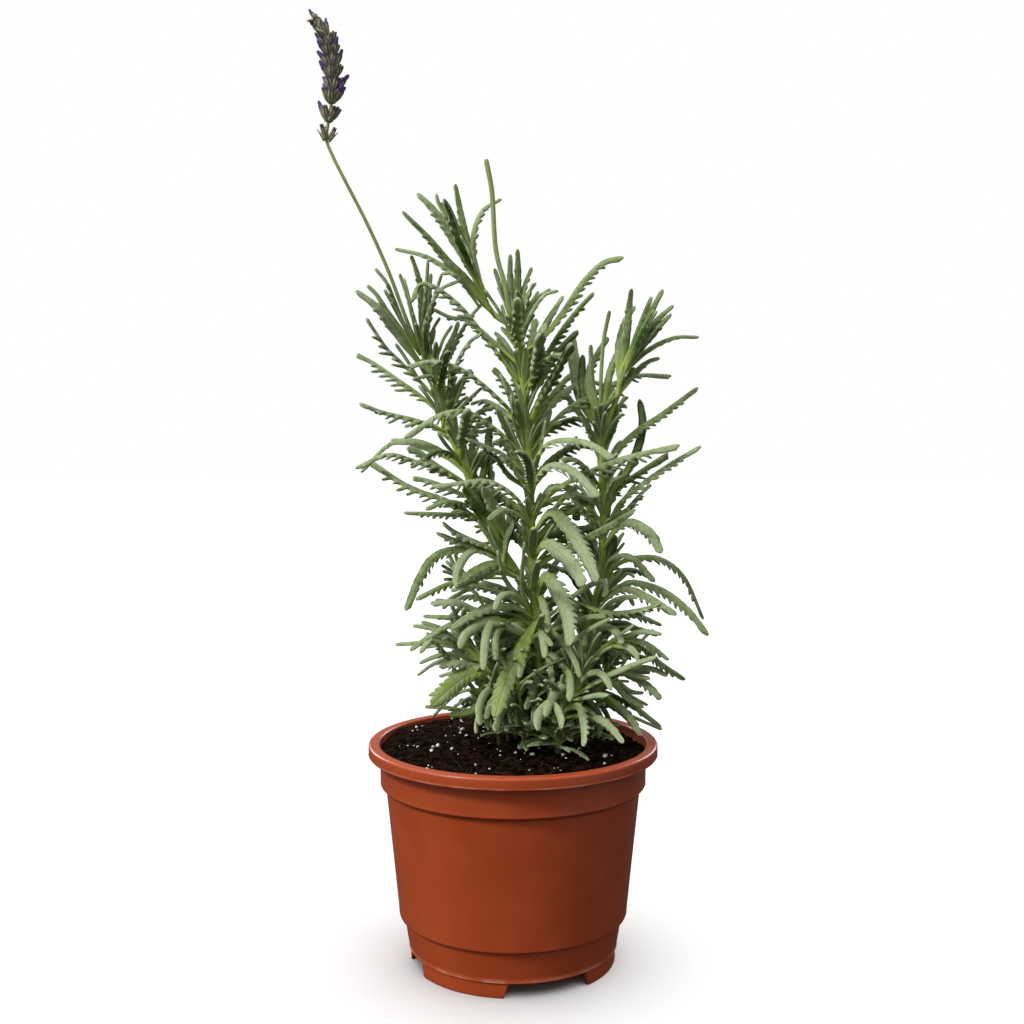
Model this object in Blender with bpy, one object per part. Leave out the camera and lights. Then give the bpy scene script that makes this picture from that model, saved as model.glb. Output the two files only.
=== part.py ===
"""A potted lavender: a moulded plastic nursery pot, its soil, and a young toothed-leaf lavender with one
flower spike.

Lengths are in millimetres until a mesh is made, and +Z is up. The origin is on the surface that the pot
stands on, under the pot's axis, and the front of the plant faces -Y.

The plant is laid out on a front elevation drawn in perspective: a point has its place (x, z) on that
drawing and its depth y behind it, and on_elevation() turns the two into a place in space.
"""

import math

import bmesh
import bpy
from mathutils import Matrix, Vector

MM = 0.001
GAP = 0.35  # between two pieces that meet

# The point that the front elevation is drawn from
EYE_DISTANCE = 610.8
EYE_HEIGHT = 257.6

# Pot, outside, from the rim down
RIM_RADIUS = 70.0
RIM_TOP = 107.1
RIM_DEPTH = 5.9
RIM_ROUND = 1.6
COLLAR_RADIUS = 64.3
COLLAR_BOTTOM = 87.8
BODY_TOP_RADIUS = 61.5
BODY_TOP = 84.6
BODY_BOTTOM_RADIUS = 55.5
BODY_BOTTOM = 25.1
SKIRT_TOP_RADIUS = 52.9
SKIRT_TOP = 22.1
SKIRT_BOTTOM_RADIUS = 50.7
FOOT_RADIUS = 49.9
FOOT_HEIGHT = 7.3

# Pot, inside
RIM_OPENING_RADIUS = 64.5
WALL = 1.2
BASE_UNDERSIDE = 8.3
BASE_TOP = 9.9
FOOT_WALL = 1.8
POT_SEGMENTS = 44

# Notches in the foot ring: (angle of the middle, width), in degrees, and drain holes in the base
FOOT_NOTCHES = [(290, 48), (200, 24), (110, 48), (20, 24)]
DRAIN_HOLES = 5
DRAIN_HOLE_RADIUS = 4.0
DRAIN_CIRCLE_RADIUS = 36.0
DRAIN_TURN = 11.0  # degrees, from +X to the first hole

# Soil
SOIL_EDGE = 102.2
SOIL_CROWN = 104.6
SOCKET_BOTTOM = 87.0
STEM_FOOT = 88.0  # height of a stem's lower end, down in the soil
STEM_SIDES = 6

# Leaves: share of the full width at each share of the length
LEAF_OUTLINE = [(0.0, 0.35), (0.14, 0.5), (0.34, 0.85), (0.58, 1.0), (0.8, 0.9), (0.95, 0.55), (1.0, 0.2)]
LEAF_THICKNESS = 1.1


# ---------------------------------------------------------------------------------------------- geometry


def on_elevation(x, z, depth):
    """The place in space of the point drawn at (x, z) on the front elevation, at this depth."""
    spread = (EYE_DISTANCE + depth) / EYE_DISTANCE
    return Vector((x * spread, depth, EYE_HEIGHT + (z - EYE_HEIGHT) * spread))


def smooth_path(knots, steps):
    """Points on a smooth curve through the knots, with so many steps between each two of them."""
    first = knots[0] * 2 - knots[1]
    last = knots[-1] * 2 - knots[-2]
    padded = [first, *knots, last]
    path = []
    for a, b, c, d in zip(padded, padded[1:], padded[2:], padded[3:]):
        for step in range(steps):
            t = step / steps
            path.append(
                0.5 * (2 * b + (c - a) * t + (2 * a - 5 * b + 4 * c - d) * t**2 + (3 * b - a - 3 * c + d) * t**3)
            )
    path.append(knots[-1])
    return path


def lengths_along(path):
    """The distance of each point from the start, measured along the path."""
    lengths = [0.0]
    for a, b in zip(path, path[1:]):
        lengths.append(lengths[-1] + (b - a).length)
    return lengths


def point_at(path, lengths, distance):
    """The point at a distance along the path."""
    for i in range(len(path) - 1):
        if distance <= lengths[i + 1]:
            share = (distance - lengths[i]) / (lengths[i + 1] - lengths[i])
            return path[i].lerp(path[i + 1], share)
    return path[-1]


def directions(path):
    """The direction of travel at each point."""
    ends = [path[0], *path, path[-1]]
    return [(after - before).normalized() for before, after in zip(ends, ends[2:])]


def carried_normals(tangents, start, normal):
    """A normal at each point, carried from the start index both ways along the path without twist."""
    normals = [None] * len(tangents)
    normals[start] = normal
    for order in (range(start + 1, len(tangents)), range(start - 1, -1, -1)):
        previous = start
        for i in order:
            turn = tangents[previous].rotation_difference(tangents[i])
            carried = turn @ normals[previous]
            normals[i] = (carried - carried.project(tangents[i])).normalized()
            previous = i
    return normals


def loft(rings):
    """A closed mesh through rings of equal count, with its two ends capped."""
    bm = bmesh.new()
    made = [[bm.verts.new(point * MM) for point in ring] for ring in rings]
    count = len(rings[0])
    for below, above in zip(made, made[1:]):
        for i in range(count):
            j = (i + 1) % count
            bm.faces.new((below[i], below[j], above[j], above[i]))
    bm.faces.new(list(reversed(made[0])))
    bm.faces.new(made[-1])
    bmesh.ops.recalc_face_normals(bm, faces=bm.faces)
    return bm


def as_object(bm, name, material):
    """The finished mesh as a named object, smooth except at its sharp edges."""
    mesh = bpy.data.meshes.new(name)
    bmesh.ops.triangulate(bm, faces=[face for face in bm.faces if len(face.verts) > 4])
    bm.to_mesh(mesh)
    bm.free()
    mesh.materials.append(material)
    mesh.shade_smooth()
    mesh.set_sharp_from_angle(angle=math.radians(35))
    obj = bpy.data.objects.new(name, mesh)
    bpy.context.scene.collection.objects.link(obj)
    return obj


def cutter(bm, name):
    """A shape that only cuts another one."""
    mesh = bpy.data.meshes.new(name)
    bm.to_mesh(mesh)
    bm.free()
    obj = bpy.data.objects.new(name, mesh)
    bpy.context.scene.collection.objects.link(obj)
    obj.hide_render = True
    obj.display_type = "WIRE"
    return obj


def cut(obj, tool):
    """Takes the tool's shape out of the object."""
    boolean = obj.modifiers.new(tool.name, "BOOLEAN")
    boolean.operation = "DIFFERENCE"
    boolean.solver = "EXACT"
    boolean.object = tool


def material(name, colour, roughness):
    made = bpy.data.materials.new(name)
    made.use_nodes = True
    shader = made.node_tree.nodes["Principled BSDF"]
    shader.inputs["Base Color"].default_value = (*colour, 1.0)
    shader.inputs["Roughness"].default_value = roughness
    shader.inputs["Metallic"].default_value = 0.0
    made.diffuse_color = (*colour, 1.0)
    return made


# ----------------------------------------------------------------------------------------- pot and soil


def arc(centre_radius, centre_height, size, start, end, steps):
    """Points (radius, height) on an arc in the turned outline, angles in degrees from outward."""
    points = []
    for step in range(steps + 1):
        angle = math.radians(start + (end - start) * step / steps)
        points.append((centre_radius + size * math.cos(angle), centre_height + size * math.sin(angle)))
    return points


def pot_outside():
    """The outer outline from the rim's crown down to the foot's inner edge."""
    rim_bottom = RIM_TOP - RIM_DEPTH
    outline = arc(RIM_RADIUS - RIM_ROUND, RIM_TOP - RIM_ROUND, RIM_ROUND, 90, 0, 3)
    outline += arc(RIM_RADIUS - 0.7, rim_bottom + 0.7, 0.7, 0, -90, 2)
    outline += [(COLLAR_RADIUS, rim_bottom)]
    outline += arc(COLLAR_RADIUS - 1.4, COLLAR_BOTTOM, 1.4, 0, -60, 2)
    outline += [(BODY_TOP_RADIUS, BODY_TOP), (BODY_BOTTOM_RADIUS, BODY_BOTTOM)]
    outline += arc(BODY_BOTTOM_RADIUS - 1.6, BODY_BOTTOM - 1.0, 1.6, -10, -70, 2)
    outline += [(SKIRT_TOP_RADIUS, SKIRT_TOP - 0.6), (SKIRT_BOTTOM_RADIUS, FOOT_HEIGHT)]
    outline += [(FOOT_RADIUS, FOOT_HEIGHT), (FOOT_RADIUS, 0.3), (FOOT_RADIUS - 0.3, 0.0)]
    outline += [(FOOT_RADIUS - FOOT_WALL, 0.0), (FOOT_RADIUS - FOOT_WALL, BASE_UNDERSIDE)]
    return outline


def pot_inside():
    """The inner outline from the base's top up to the rim's opening."""
    outline = [(SKIRT_BOTTOM_RADIUS - WALL - 1.2, BASE_TOP), (SKIRT_BOTTOM_RADIUS - WALL + 0.2, BASE_TOP + 1.2)]
    outline += [(SKIRT_TOP_RADIUS - WALL, SKIRT_TOP - 0.4), (BODY_BOTTOM_RADIUS - WALL, BODY_BOTTOM + 0.6)]
    outline += [(BODY_TOP_RADIUS - WALL, BODY_TOP + 0.6), (COLLAR_RADIUS - WALL, COLLAR_BOTTOM + 0.8)]
    outline += [(COLLAR_RADIUS - WALL, RIM_TOP - RIM_DEPTH - 1.5), (RIM_OPENING_RADIUS - 0.4, RIM_TOP - 4.2)]
    outline += arc(RIM_OPENING_RADIUS + 1.0, RIM_TOP - 1.0, 1.0, 180, 90, 2)
    return outline


def turned(outline):
    """A closed solid turned from an outline that starts and ends on the axis."""
    bm = bmesh.new()
    rings = []
    for radius, height in outline:
        if radius == 0.0:
            rings.append([bm.verts.new((0.0, 0.0, height * MM))])
            continue
        ring = []
        for segment in range(POT_SEGMENTS):
            angle = math.tau * segment / POT_SEGMENTS
            ring.append(bm.verts.new((radius * MM * math.cos(angle), radius * MM * math.sin(angle), height * MM)))
        rings.append(ring)
    for one, two in zip(rings, rings[1:]):
        for i in range(POT_SEGMENTS):
            j = (i + 1) % POT_SEGMENTS
            corners = [one[i % len(one)], one[j % len(one)], two[j % len(two)], two[i % len(two)]]
            bm.faces.new(list(dict.fromkeys(corners)))
    bmesh.ops.recalc_face_normals(bm, faces=bm.faces)
    return bm


def wedge(middle, width, inner, outer, height):
    """A sector of a ring, from below the floor up to the height, that cuts one notch in the foot."""
    steps = 6
    bm = bmesh.new()
    corners = []
    for step in range(steps + 1):
        angle = math.radians(middle - width / 2 + width * step / steps)
        corners.append((outer * math.cos(angle), outer * math.sin(angle)))
    for step in range(steps, -1, -1):
        angle = math.radians(middle - width / 2 + width * step / steps)
        corners.append((inner * math.cos(angle), inner * math.sin(angle)))
    low = [bm.verts.new((x * MM, y * MM, -3.0 * MM)) for x, y in corners]
    high = [bm.verts.new((x * MM, y * MM, height * MM)) for x, y in corners]
    count = len(corners)
    for i in range(count):
        j = (i + 1) % count
        bm.faces.new((low[i], low[j], high[j], high[i]))
    bm.faces.new(low)
    bm.faces.new(high)
    bmesh.ops.triangulate(bm, faces=[face for face in bm.faces if len(face.verts) > 4])
    bmesh.ops.recalc_face_normals(bm, faces=bm.faces)
    return bm


def rod(x, y, radius, bottom, top, segments):
    """An upright round cutter."""
    bm = bmesh.new()
    place = Matrix.Translation(Vector((x, y, (bottom + top) / 2)) * MM)
    bmesh.ops.create_cone(
        bm,
        cap_ends=True,
        segments=segments,
        radius1=radius * MM,
        radius2=radius * MM,
        depth=(top - bottom) * MM,
        matrix=place,
    )
    return bm


def make_pot(finish):
    """The pot: a thin turned shell with a rolled rim, four notches in its foot and drain holes in its base."""
    outline = [(0.0, BASE_TOP), *pot_inside(), *pot_outside(), (0.0, BASE_UNDERSIDE)]
    pot = as_object(turned(outline), "pot", finish)
    for index, (middle, width) in enumerate(FOOT_NOTCHES):
        notch = wedge(middle, width, FOOT_RADIUS - FOOT_WALL - 3.0, FOOT_RADIUS + 3.0, FOOT_HEIGHT - 0.4)
        cut(pot, cutter(notch, f"foot_notch_{index}"))
    for index in range(DRAIN_HOLES):
        angle = math.radians(DRAIN_TURN) + math.tau * index / DRAIN_HOLES
        x = DRAIN_CIRCLE_RADIUS * math.cos(angle)
        y = DRAIN_CIRCLE_RADIUS * math.sin(angle)
        hole = rod(x, y, DRAIN_HOLE_RADIUS, BASE_UNDERSIDE - 2, BASE_TOP + 2, 12)
        cut(pot, cutter(hole, f"drain_hole_{index}"))
    return pot


def make_soil(finish, stem_feet):
    """The soil: it fills the pot up to a slight mound, with a socket for each stem that goes down into it."""
    outline = [(0.0, BASE_TOP + GAP)]
    for radius, height in pot_inside():
        if height < SOIL_EDGE:
            outline.append((radius - GAP, height + GAP))
    outline += [(COLLAR_RADIUS - WALL - GAP, SOIL_EDGE), (44.0, SOIL_EDGE + 0.6)]
    outline += [(24.0, SOIL_CROWN - 0.4), (0.0, SOIL_CROWN)]
    soil = as_object(turned(outline), "potting_soil", finish)
    for index, (x, y, radius) in enumerate(stem_feet):
        socket = rod(x, y, radius + GAP + 0.2, SOCKET_BOTTOM, SOIL_CROWN + 5, 12)
        cut(soil, cutter(socket, f"stem_socket_{index}"))
    return soil


# ------------------------------------------------------------------------------------------------ stems

# Each stem: (thickness at its foot, thickness at its tip, points (x, z, depth) of its centre line)
STEMS = {
    "stem_centre": (5.2, 3.2, [
        (12, 88, 0), (12, 106, 0), (12.5, 125, 0), (12.5, 145, 0), (11.5, 165, 0), (9.8, 182, 0), (9, 200, 0),
        (8.5, 220, 0), (7.5, 240, 0), (6, 265, 0), (3.5, 290, 0), (1.5, 307, 0),
    ]),
    "stem_left": (4.0, 2.8, [
        (4.6, 183, 0), (1, 190, 1), (-3, 196, 2), (-8, 204, 3), (-13, 214, 4), (-20, 231, 6), (-26, 246, 8),
        (-33, 262, 9), (-38, 278, 9), (-43, 291.5, 9),
    ]),
    "stem_right": (4.4, 3.2, [
        (17, 88, 9), (17, 106, 9), (20, 120, 9), (26, 135, 9), (33, 150, 8), (38.5, 165, 7), (41.5, 180, 6),
        (43, 200, 4), (43.5, 212, 3), (43, 230, 2), (42, 250, 2), (41.5, 262, 2),
    ]),
    "stem_front": (3.6, 2.2, [
        (22, 88, -14), (22, 108, -14), (25, 119, -15), (29, 127, -16), (32.5, 134, -18), (36, 142, -20),
        (42, 150, -21), (50, 157, -22),
    ]),
    "shoot_top_left": (2.4, 1.6, [
        (-2.2, 307.5, 1), (-9, 312.5, 2), (-15, 322, 3), (-20, 333, 4), (-25, 345, 5), (-30, 355, 5), (-34, 365, 5),
    ]),
    "shoot_top_right": (2.6, 1.8, [
        (44.4, 258, 0), (47, 266, -1), (50, 274, -2), (51.5, 284, -2), (55, 293, -2), (58.5, 301, -2), (62, 308, -2),
    ]),
    "shoot_low_left": (3.2, 2.2, [
        (7.6, 128, -2), (0, 133, -3), (-8, 139, -4), (-16, 146, -5), (-24, 153, -6), (-32, 158.5, -7), (-38, 161, -8),
    ]),
    "shoot_low_right": (3.0, 2.2, [
        (29.5, 132.5, 5), (36, 136, 1), (44, 139, -3), (51, 141, -6), (57, 142, -8),
    ]),
    "flower_stalk": (1.9, 1.4, [
        (-43.8, 293.6, 9), (-50.5, 309, 7), (-59, 332, 4), (-69, 354.5, 2), (-80, 376, 0), (-85, 386, 0),
        (-88, 394, 0), (-87, 403, 0), (-85.5, 412.5, 0), (-84.8, 420, 0), (-85.2, 427, 0), (-86, 433, 0),
    ]),
    "young_flower_stalk": (2.2, 2.4, [
        (1.2, 309.6, 0), (-2, 316, -1), (-4, 327, -2), (-6.5, 335, -2), (-8.2, 343, -2), (-9, 352, -2),
        (-9.5, 362, -2), (-10.3, 372, -2), (-12.8, 385, -2),
    ]),
    "cut_flower_stalk": (1.5, 1.3, [
        (41.5, 263.5, 2), (41.8, 272, 2), (42, 282, 2), (42.5, 292, 2), (43.5, 302, 2), (46, 314, 2),
    ]),
}
PLANTED_STEMS = ("stem_centre", "stem_right", "stem_front")


def stem_path(name):
    """The centre line of a stem, upright where it stands in the soil."""
    knots = [on_elevation(x, z, depth) for x, z, depth in STEMS[name][2]]
    if name in PLANTED_STEMS:
        knots[0] = Vector((knots[1].x, knots[1].y, STEM_FOOT))
    return smooth_path(knots, 2)


def tube_rings(path, radius_at, sides):
    """Rings of so many sides round a path."""
    tangents = directions(path)
    start = tangents[0].orthogonal().normalized()
    normals = carried_normals(tangents, 0, start)
    lengths = lengths_along(path)
    rings = []
    for point, tangent, normal, length in zip(path, tangents, normals, lengths):
        across = tangent.cross(normal)
        radius = radius_at(length / lengths[-1])
        ring = []
        for side in range(sides):
            angle = math.tau * side / sides
            ring.append(point + (normal * math.cos(angle) + across * math.sin(angle)) * radius)
        rings.append(ring)
    return rings


def make_stem(name, finish):
    """One stem, round, and thinner towards its tip."""
    foot, tip, _ = STEMS[name]
    rings = tube_rings(stem_path(name), lambda share: (foot + (tip - foot) * share) / 2, STEM_SIDES)
    return as_object(loft(rings), name, finish)


# ------------------------------------------------------------------------------------------------ leaves

# Each leaf: (stem, width, lean of its face towards the front in degrees, depth at its foot, depth at its tip,
# points (x, z) from foot to tip)
LEAVES = {
    "leaf_top_left_1": ("shoot_top_left", 5.0, 35, 2, -10, [
        (-10, 314), (-20, 327), (-30, 337), (-40, 348.5), (-52.5, 360.5)]),
    "leaf_top_left_2": ("shoot_top_left", 4.0, 20, 3, 16, [
        (-9, 312), (-15, 318), (-25, 329), (-40, 339), (-56, 343)]),
    "leaf_left_upper_1": ("stem_left", 5.0, 40, 9, -8, [
        (-42, 288), (-50, 297), (-60, 310.5), (-66, 317), (-75, 323.5)]),
    "leaf_left_upper_2": ("stem_left", 4.6, 35, 9, 24, [
        (-35, 267), (-45, 274), (-55, 281), (-65, 288), (-74.5, 293.5)]),
    "leaf_left_upper_3": ("stem_left", 5.0, 30, 9, -6, [
        (-31, 258), (-45, 261.5), (-55, 264), (-63, 266), (-73.5, 270)]),
    "leaf_left_middle_1": ("stem_left", 4.6, 30, 7, 16, [
        (-22, 237), (-30, 243), (-40, 248), (-50, 251.5), (-60, 250), (-73, 237)]),
    "leaf_left_middle_2": ("stem_left", 4.6, 30, 6, -12, [
        (-19, 229), (-35, 239), (-46, 242), (-60, 245.5), (-75.5, 239)]),
    "leaf_left_middle_3": ("stem_left", 5.0, 35, 4, 26, [
        (-15, 217), (-25, 218.5), (-35, 224.5), (-45, 228), (-55, 233), (-69, 242.5)]),
    "leaf_left_middle_4": ("stem_left", 5.2, 30, 4, -20, [
        (-13, 213), (-22, 216), (-35, 217), (-52.5, 217.5)]),
    "leaf_left_drooping": ("stem_left", 5.6, 40, 2, -16, [
        (-4, 197), (-14, 199.5), (-28, 200), (-38, 196.5), (-45, 187), (-52, 170)]),
    "leaf_left_dark": ("stem_left", 6.0, 30, 1, -34, [
        (0, 190.5), (-6, 193), (-15, 190.5), (-27, 183)]),
    "leaf_centre_upper_left": ("stem_centre", 4.6, 30, 0, -12, [
        (4, 281), (-5, 291), (-15, 304), (-25, 316), (-36, 324.5), (-48.5, 318)]),
    "leaf_centre_left_1": ("stem_centre", 4.6, 30, 0, -20, [
        (5, 261), (-5, 270.5), (-15, 279.5), (-25, 286.5), (-38, 290), (-50.5, 287.5)]),
    "leaf_centre_left_2": ("stem_centre", 5.0, 30, 0, -28, [
        (7, 243), (0, 250), (-10, 259), (-22, 266), (-35, 264.5), (-52, 253.5)]),
    "leaf_centre_arching": ("stem_centre", 4.6, 30, 0, -24, [
        (11, 167), (3, 171.5), (-8, 172.5), (-20, 168), (-30, 161)]),
    "leaf_low_left_broad": ("shoot_low_left", 10.0, 55, -5, -26, [
        (-9, 140), (-18, 140), (-28, 134.5), (-40, 123.5)]),
    "leaf_low_left_long": ("shoot_low_left", 4.2, 30, -5, 14, [
        (-17, 147), (-25, 148.5), (-37, 145), (-46.5, 138.5)]),
    "leaf_front_broad": ("stem_centre", 9.5, 70, 0, -34, [
        (11.5, 165), (6, 156), (1, 146), (-4, 134), (-9, 118)]),
    "leaf_centre_top": ("stem_centre", 6.0, 35, 0, -10, [
        (3, 297), (13, 300), (24, 314), (32, 326), (42, 336), (52.5, 339)]),
    "leaf_centre_right_1": ("stem_centre", 5.0, 30, 0, 24, [
        (7, 254), (13, 262), (22, 273.5), (32, 279.5), (42, 279.5), (53, 273.5)]),
    "leaf_centre_right_2": ("stem_centre", 5.6, 30, 0, 16, [
        (8, 247), (15, 256), (25, 266.5), (40, 275.5), (58, 283), (75.5, 283)]),
    "leaf_centre_right_3": ("stem_centre", 5.0, 30, 0, -32, [
        (8, 237), (14, 248.5), (23, 252.5), (36, 251), (48.5, 243.5)]),
    "leaf_centre_right_4": ("stem_centre", 5.4, 35, 0, -12, [
        (9, 219), (21, 229), (34, 236), (52, 243.5), (80, 250)]),
    "leaf_centre_right_5": ("stem_centre", 5.6, 35, 0, 26, [
        (9, 206), (24, 216), (40, 225.5), (56, 234), (74.5, 246)]),
    "leaf_centre_drooping_1": ("stem_centre", 7.0, 50, 0, -36, [
        (9, 208), (17, 217.5), (25, 212), (33, 200), (40.5, 184)]),
    "leaf_centre_drooping_2": ("stem_centre", 8.0, 60, 0, -42, [
        (9.5, 195), (14, 202), (21, 199.5), (28, 192.5), (34, 182)]),
    "leaf_centre_drooping_3": ("stem_centre", 8.6, 65, 0, -40, [
        (10, 178), (14, 185.5), (20, 181), (25.5, 169), (27.5, 153)]),
    "leaf_top_right_arching": ("shoot_top_right", 4.6, 30, -2, 14, [
        (52, 285), (63, 294.5), (76, 301), (88.5, 301.5)]),
    "leaf_right_upper": ("stem_right", 5.4, 35, 2, 12, [
        (43, 232), (50, 247), (60, 257.5), (70, 264), (88.5, 277.5)]),
    "leaf_right_middle": ("stem_right", 5.4, 35, 3, -10, [
        (43.5, 211), (51, 222), (62, 231.5), (75, 240.5), (90, 249.5)]),
    "leaf_right_curled": ("stem_right", 6.0, 40, 4, -24, [
        (43, 203), (50, 210), (57, 213), (66, 207.5), (71.5, 198)]),
    "leaf_right_long_1": ("stem_right", 5.0, 30, 5, 20, [
        (42, 186), (50, 192.5), (60, 196), (72, 195), (83, 186), (92, 166)]),
    "leaf_right_long_2": ("stem_right", 5.4, 35, 6, -6, [
        (41, 176), (50, 181), (58, 184), (72, 180), (84, 171), (94.5, 158)]),
    "leaf_low_right_long": ("stem_front", 5.0, 35, -22, -8, [
        (50, 157), (57, 155), (65, 150.5), (73, 143.5), (83.5, 136.5)]),
    "leaf_front_right_long": ("stem_front", 4.0, 40, -16, -44, [
        (30, 129), (38, 134), (48, 139.5), (58, 144), (70, 147.5)]),
    "leaf_front_drooping": ("stem_front", 5.0, 60, -15, -46, [
        (26, 122), (31.5, 123), (34, 114), (34.5, 103.5)]),
    "leaf_low_right_drooping": ("shoot_low_right", 4.6, 35, -2, 14, [
        (45, 139), (52, 131), (62, 121), (72, 113)]),
    "leaf_back_low": ("stem_centre", 6.0, 20, 0, 72, [
        (12.5, 150), (4, 161), (-8, 166), (-16, 160)]),
    "leaf_back_middle": ("stem_right", 6.0, 20, 4, 74, [
        (43, 205), (38, 215), (32, 220), (30, 214)]),
    "leaf_back_upper": ("stem_left", 5.4, 20, 7, 66, [
        (-22, 236), (-14, 247), (-8, 252), (-4, 250)]),
    "leaf_front_middle": ("stem_centre", 6.0, 10, 0, -72, [
        (9, 228), (8, 240), (5, 246), (2, 247)]),
}


def clear_of(stem, path):
    """The path without its start, up to where a leaf's foot is clear of its stem's surface."""
    foot, tip, _ = STEMS[stem]
    centre_line = smooth_path(stem_path(stem), 3)
    clearance = max(foot, tip) / 2 + LEAF_THICKNESS / 2 + GAP
    for index, point in enumerate(path):
        nearest = min((point - centre).length for centre in centre_line)
        if nearest > clearance + 0.6:
            return path[index:]
    return path


def upper_face(tangents, lean):
    """The leaf's own up at each point: upwards where it lies level, and leant towards the front."""
    level = min(range(len(tangents)), key=lambda i: abs(tangents[i].z))
    tangent = tangents[level]
    up = Vector((0, 0, 1))
    up = (up - up.project(tangent)).normalized()
    front = tangent.cross(up)
    if front.y > 0:
        front = -front
    angle = math.radians(lean)
    return carried_normals(tangents, level, up * math.cos(angle) + front * math.sin(angle))


def make_leaf(name, finish):
    """One leaf: a thin curved blade, thickest down its middle, that starts just clear of its stem."""
    stem, width, lean, foot_depth, tip_depth, drawn = LEAVES[name]
    flat = smooth_path([Vector((x, z, 0)) for x, z in drawn], 12)
    lengths = lengths_along(flat)
    path = []
    for point, length in zip(flat, lengths):
        depth = foot_depth + (tip_depth - foot_depth) * length / lengths[-1]
        path.append(on_elevation(point.x, point.y, depth))
    path = clear_of(stem, path)
    lengths = lengths_along(path)
    stations = [point_at(path, lengths, share * lengths[-1]) for share, _ in LEAF_OUTLINE]
    tangents = directions(stations)
    rings = []
    for (_, breadth), point, tangent, up in zip(LEAF_OUTLINE, stations, tangents, upper_face(tangents, lean)):
        side = tangent.cross(up) * width * breadth / 2
        rise = up * LEAF_THICKNESS * (0.4 + 0.6 * breadth) / 2
        rings.append([point + side, point + rise, point - side, point - rise])
    return as_object(loft(rings), name, finish)


# ----------------------------------------------------------------------------------------- flower spike

# Each piece: (heights at which it starts and ends, widest diameter, share of that at its two ends, whether it
# is bored for the stalk)
WHORLS = {
    "flower_whorl_low": (394.5, 401.5, 8.0, (0.4, 0.7), True),
    "flower_whorl_middle": (404.0, 412.4, 10.0, (0.45, 0.75), True),
    "flower_head_lower": (413.2, 432.2, 11.5, (0.6, 0.85), True),
    "flower_head_tip": (434.0, 453.4, 10.0, (0.95, 0.25), False),
}
SPIKE = [(-88, 394), (-87, 403), (-85.5, 412.5), (-84.8, 420), (-85.2, 427), (-86, 433), (-88, 442), (-94.4, 453.4)]
BORE_RADIUS = 0.78 + GAP


def make_whorl(name, finish):
    """A whorl of calyces as one plain bulging sleeve on the stalk, or the spike's closed tip."""
    bottom, top, diameter, ends, bored = WHORLS[name]
    line = smooth_path([on_elevation(x, z, 0) for x, z in SPIKE], 8)
    path = [point for point in line if bottom <= point.z <= top]
    path = path[:: max(1, len(path) // 6)]

    def bulge(share):
        end = ends[0] + (ends[1] - ends[0]) * share
        return diameter / 2 * (end + (1 - end) * math.sin(math.pi * share))

    outer = tube_rings(path, bulge, 10)
    if not bored:
        return as_object(loft(outer), name, finish)
    inner = tube_rings(path, lambda share: BORE_RADIUS, 10)
    bm = bmesh.new()
    outer = [[bm.verts.new(point * MM) for point in ring] for ring in outer]
    inner = [[bm.verts.new(point * MM) for point in ring] for ring in inner]
    loops = [*outer, *reversed(inner)]
    for one, two in zip(loops, [*loops[1:], loops[0]]):
        for i in range(10):
            j = (i + 1) % 10
            bm.faces.new((one[i], one[j], two[j], two[i]))
    bmesh.ops.recalc_face_normals(bm, faces=bm.faces)
    return as_object(bm, name, finish)


# -------------------------------------------------------------------------------------------------- all


def main():
    for obj in list(bpy.data.objects):
        bpy.data.objects.remove(obj)

    make_pot(material("terracotta_plastic", (0.24, 0.045, 0.014), 0.42))
    feet = []
    for name in PLANTED_STEMS:
        foot = stem_path(name)[0]
        feet.append((foot.x, foot.y, STEMS[name][0] / 2))
    make_soil(material("peat", (0.022, 0.011, 0.007), 0.95), feet)

    for name in STEMS:
        make_stem(name, material(name + "_green", (0.2, 0.27, 0.06), 0.6))
    for name in LEAVES:
        make_leaf(name, material(name + "_green", (0.19, 0.27, 0.13), 0.65))
    for name in WHORLS:
        make_whorl(name, material(name + "_calyx", (0.1, 0.07, 0.09), 0.7))


main()
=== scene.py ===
"""The looks of the potted lavender: a moulded plastic nursery pot, peat with perlite, and a young
lavender with comb-toothed, felted leaves and one flower spike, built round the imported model.

Lengths are in millimetres until a mesh is made. +Z is up, the front of the plant faces -Y, and the
origin is on the floor under the pot's axis. The plant is laid out on a front elevation drawn in
perspective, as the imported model's is: on_elevation() turns a place (x, z) on it, and a depth behind it,
into a place in space.
"""

import math
import random

import bmesh
import bpy
import numpy as np
from mathutils import Matrix, Vector, noise


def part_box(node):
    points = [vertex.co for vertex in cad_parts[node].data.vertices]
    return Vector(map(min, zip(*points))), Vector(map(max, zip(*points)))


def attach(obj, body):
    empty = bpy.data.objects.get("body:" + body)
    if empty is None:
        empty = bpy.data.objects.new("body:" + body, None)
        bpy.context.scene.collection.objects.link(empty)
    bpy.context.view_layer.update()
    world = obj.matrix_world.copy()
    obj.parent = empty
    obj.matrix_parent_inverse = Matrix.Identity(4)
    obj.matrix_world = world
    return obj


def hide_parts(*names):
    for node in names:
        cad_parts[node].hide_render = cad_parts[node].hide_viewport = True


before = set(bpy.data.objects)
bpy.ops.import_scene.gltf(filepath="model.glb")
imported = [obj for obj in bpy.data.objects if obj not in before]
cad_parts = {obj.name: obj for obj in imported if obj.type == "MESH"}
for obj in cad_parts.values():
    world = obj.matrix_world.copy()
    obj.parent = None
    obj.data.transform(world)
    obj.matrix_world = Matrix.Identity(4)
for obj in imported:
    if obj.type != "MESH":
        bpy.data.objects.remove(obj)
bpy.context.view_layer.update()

MM = 0.001
UP = np.array((0.0, 0.0, 1.0))

# The point that the front elevation is drawn from
EYE_DISTANCE = 610.8
EYE_HEIGHT = 257.6
# Empty margin round each cell of a UV map, as a share of the cell
CELL_MARGIN = 0.02

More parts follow.
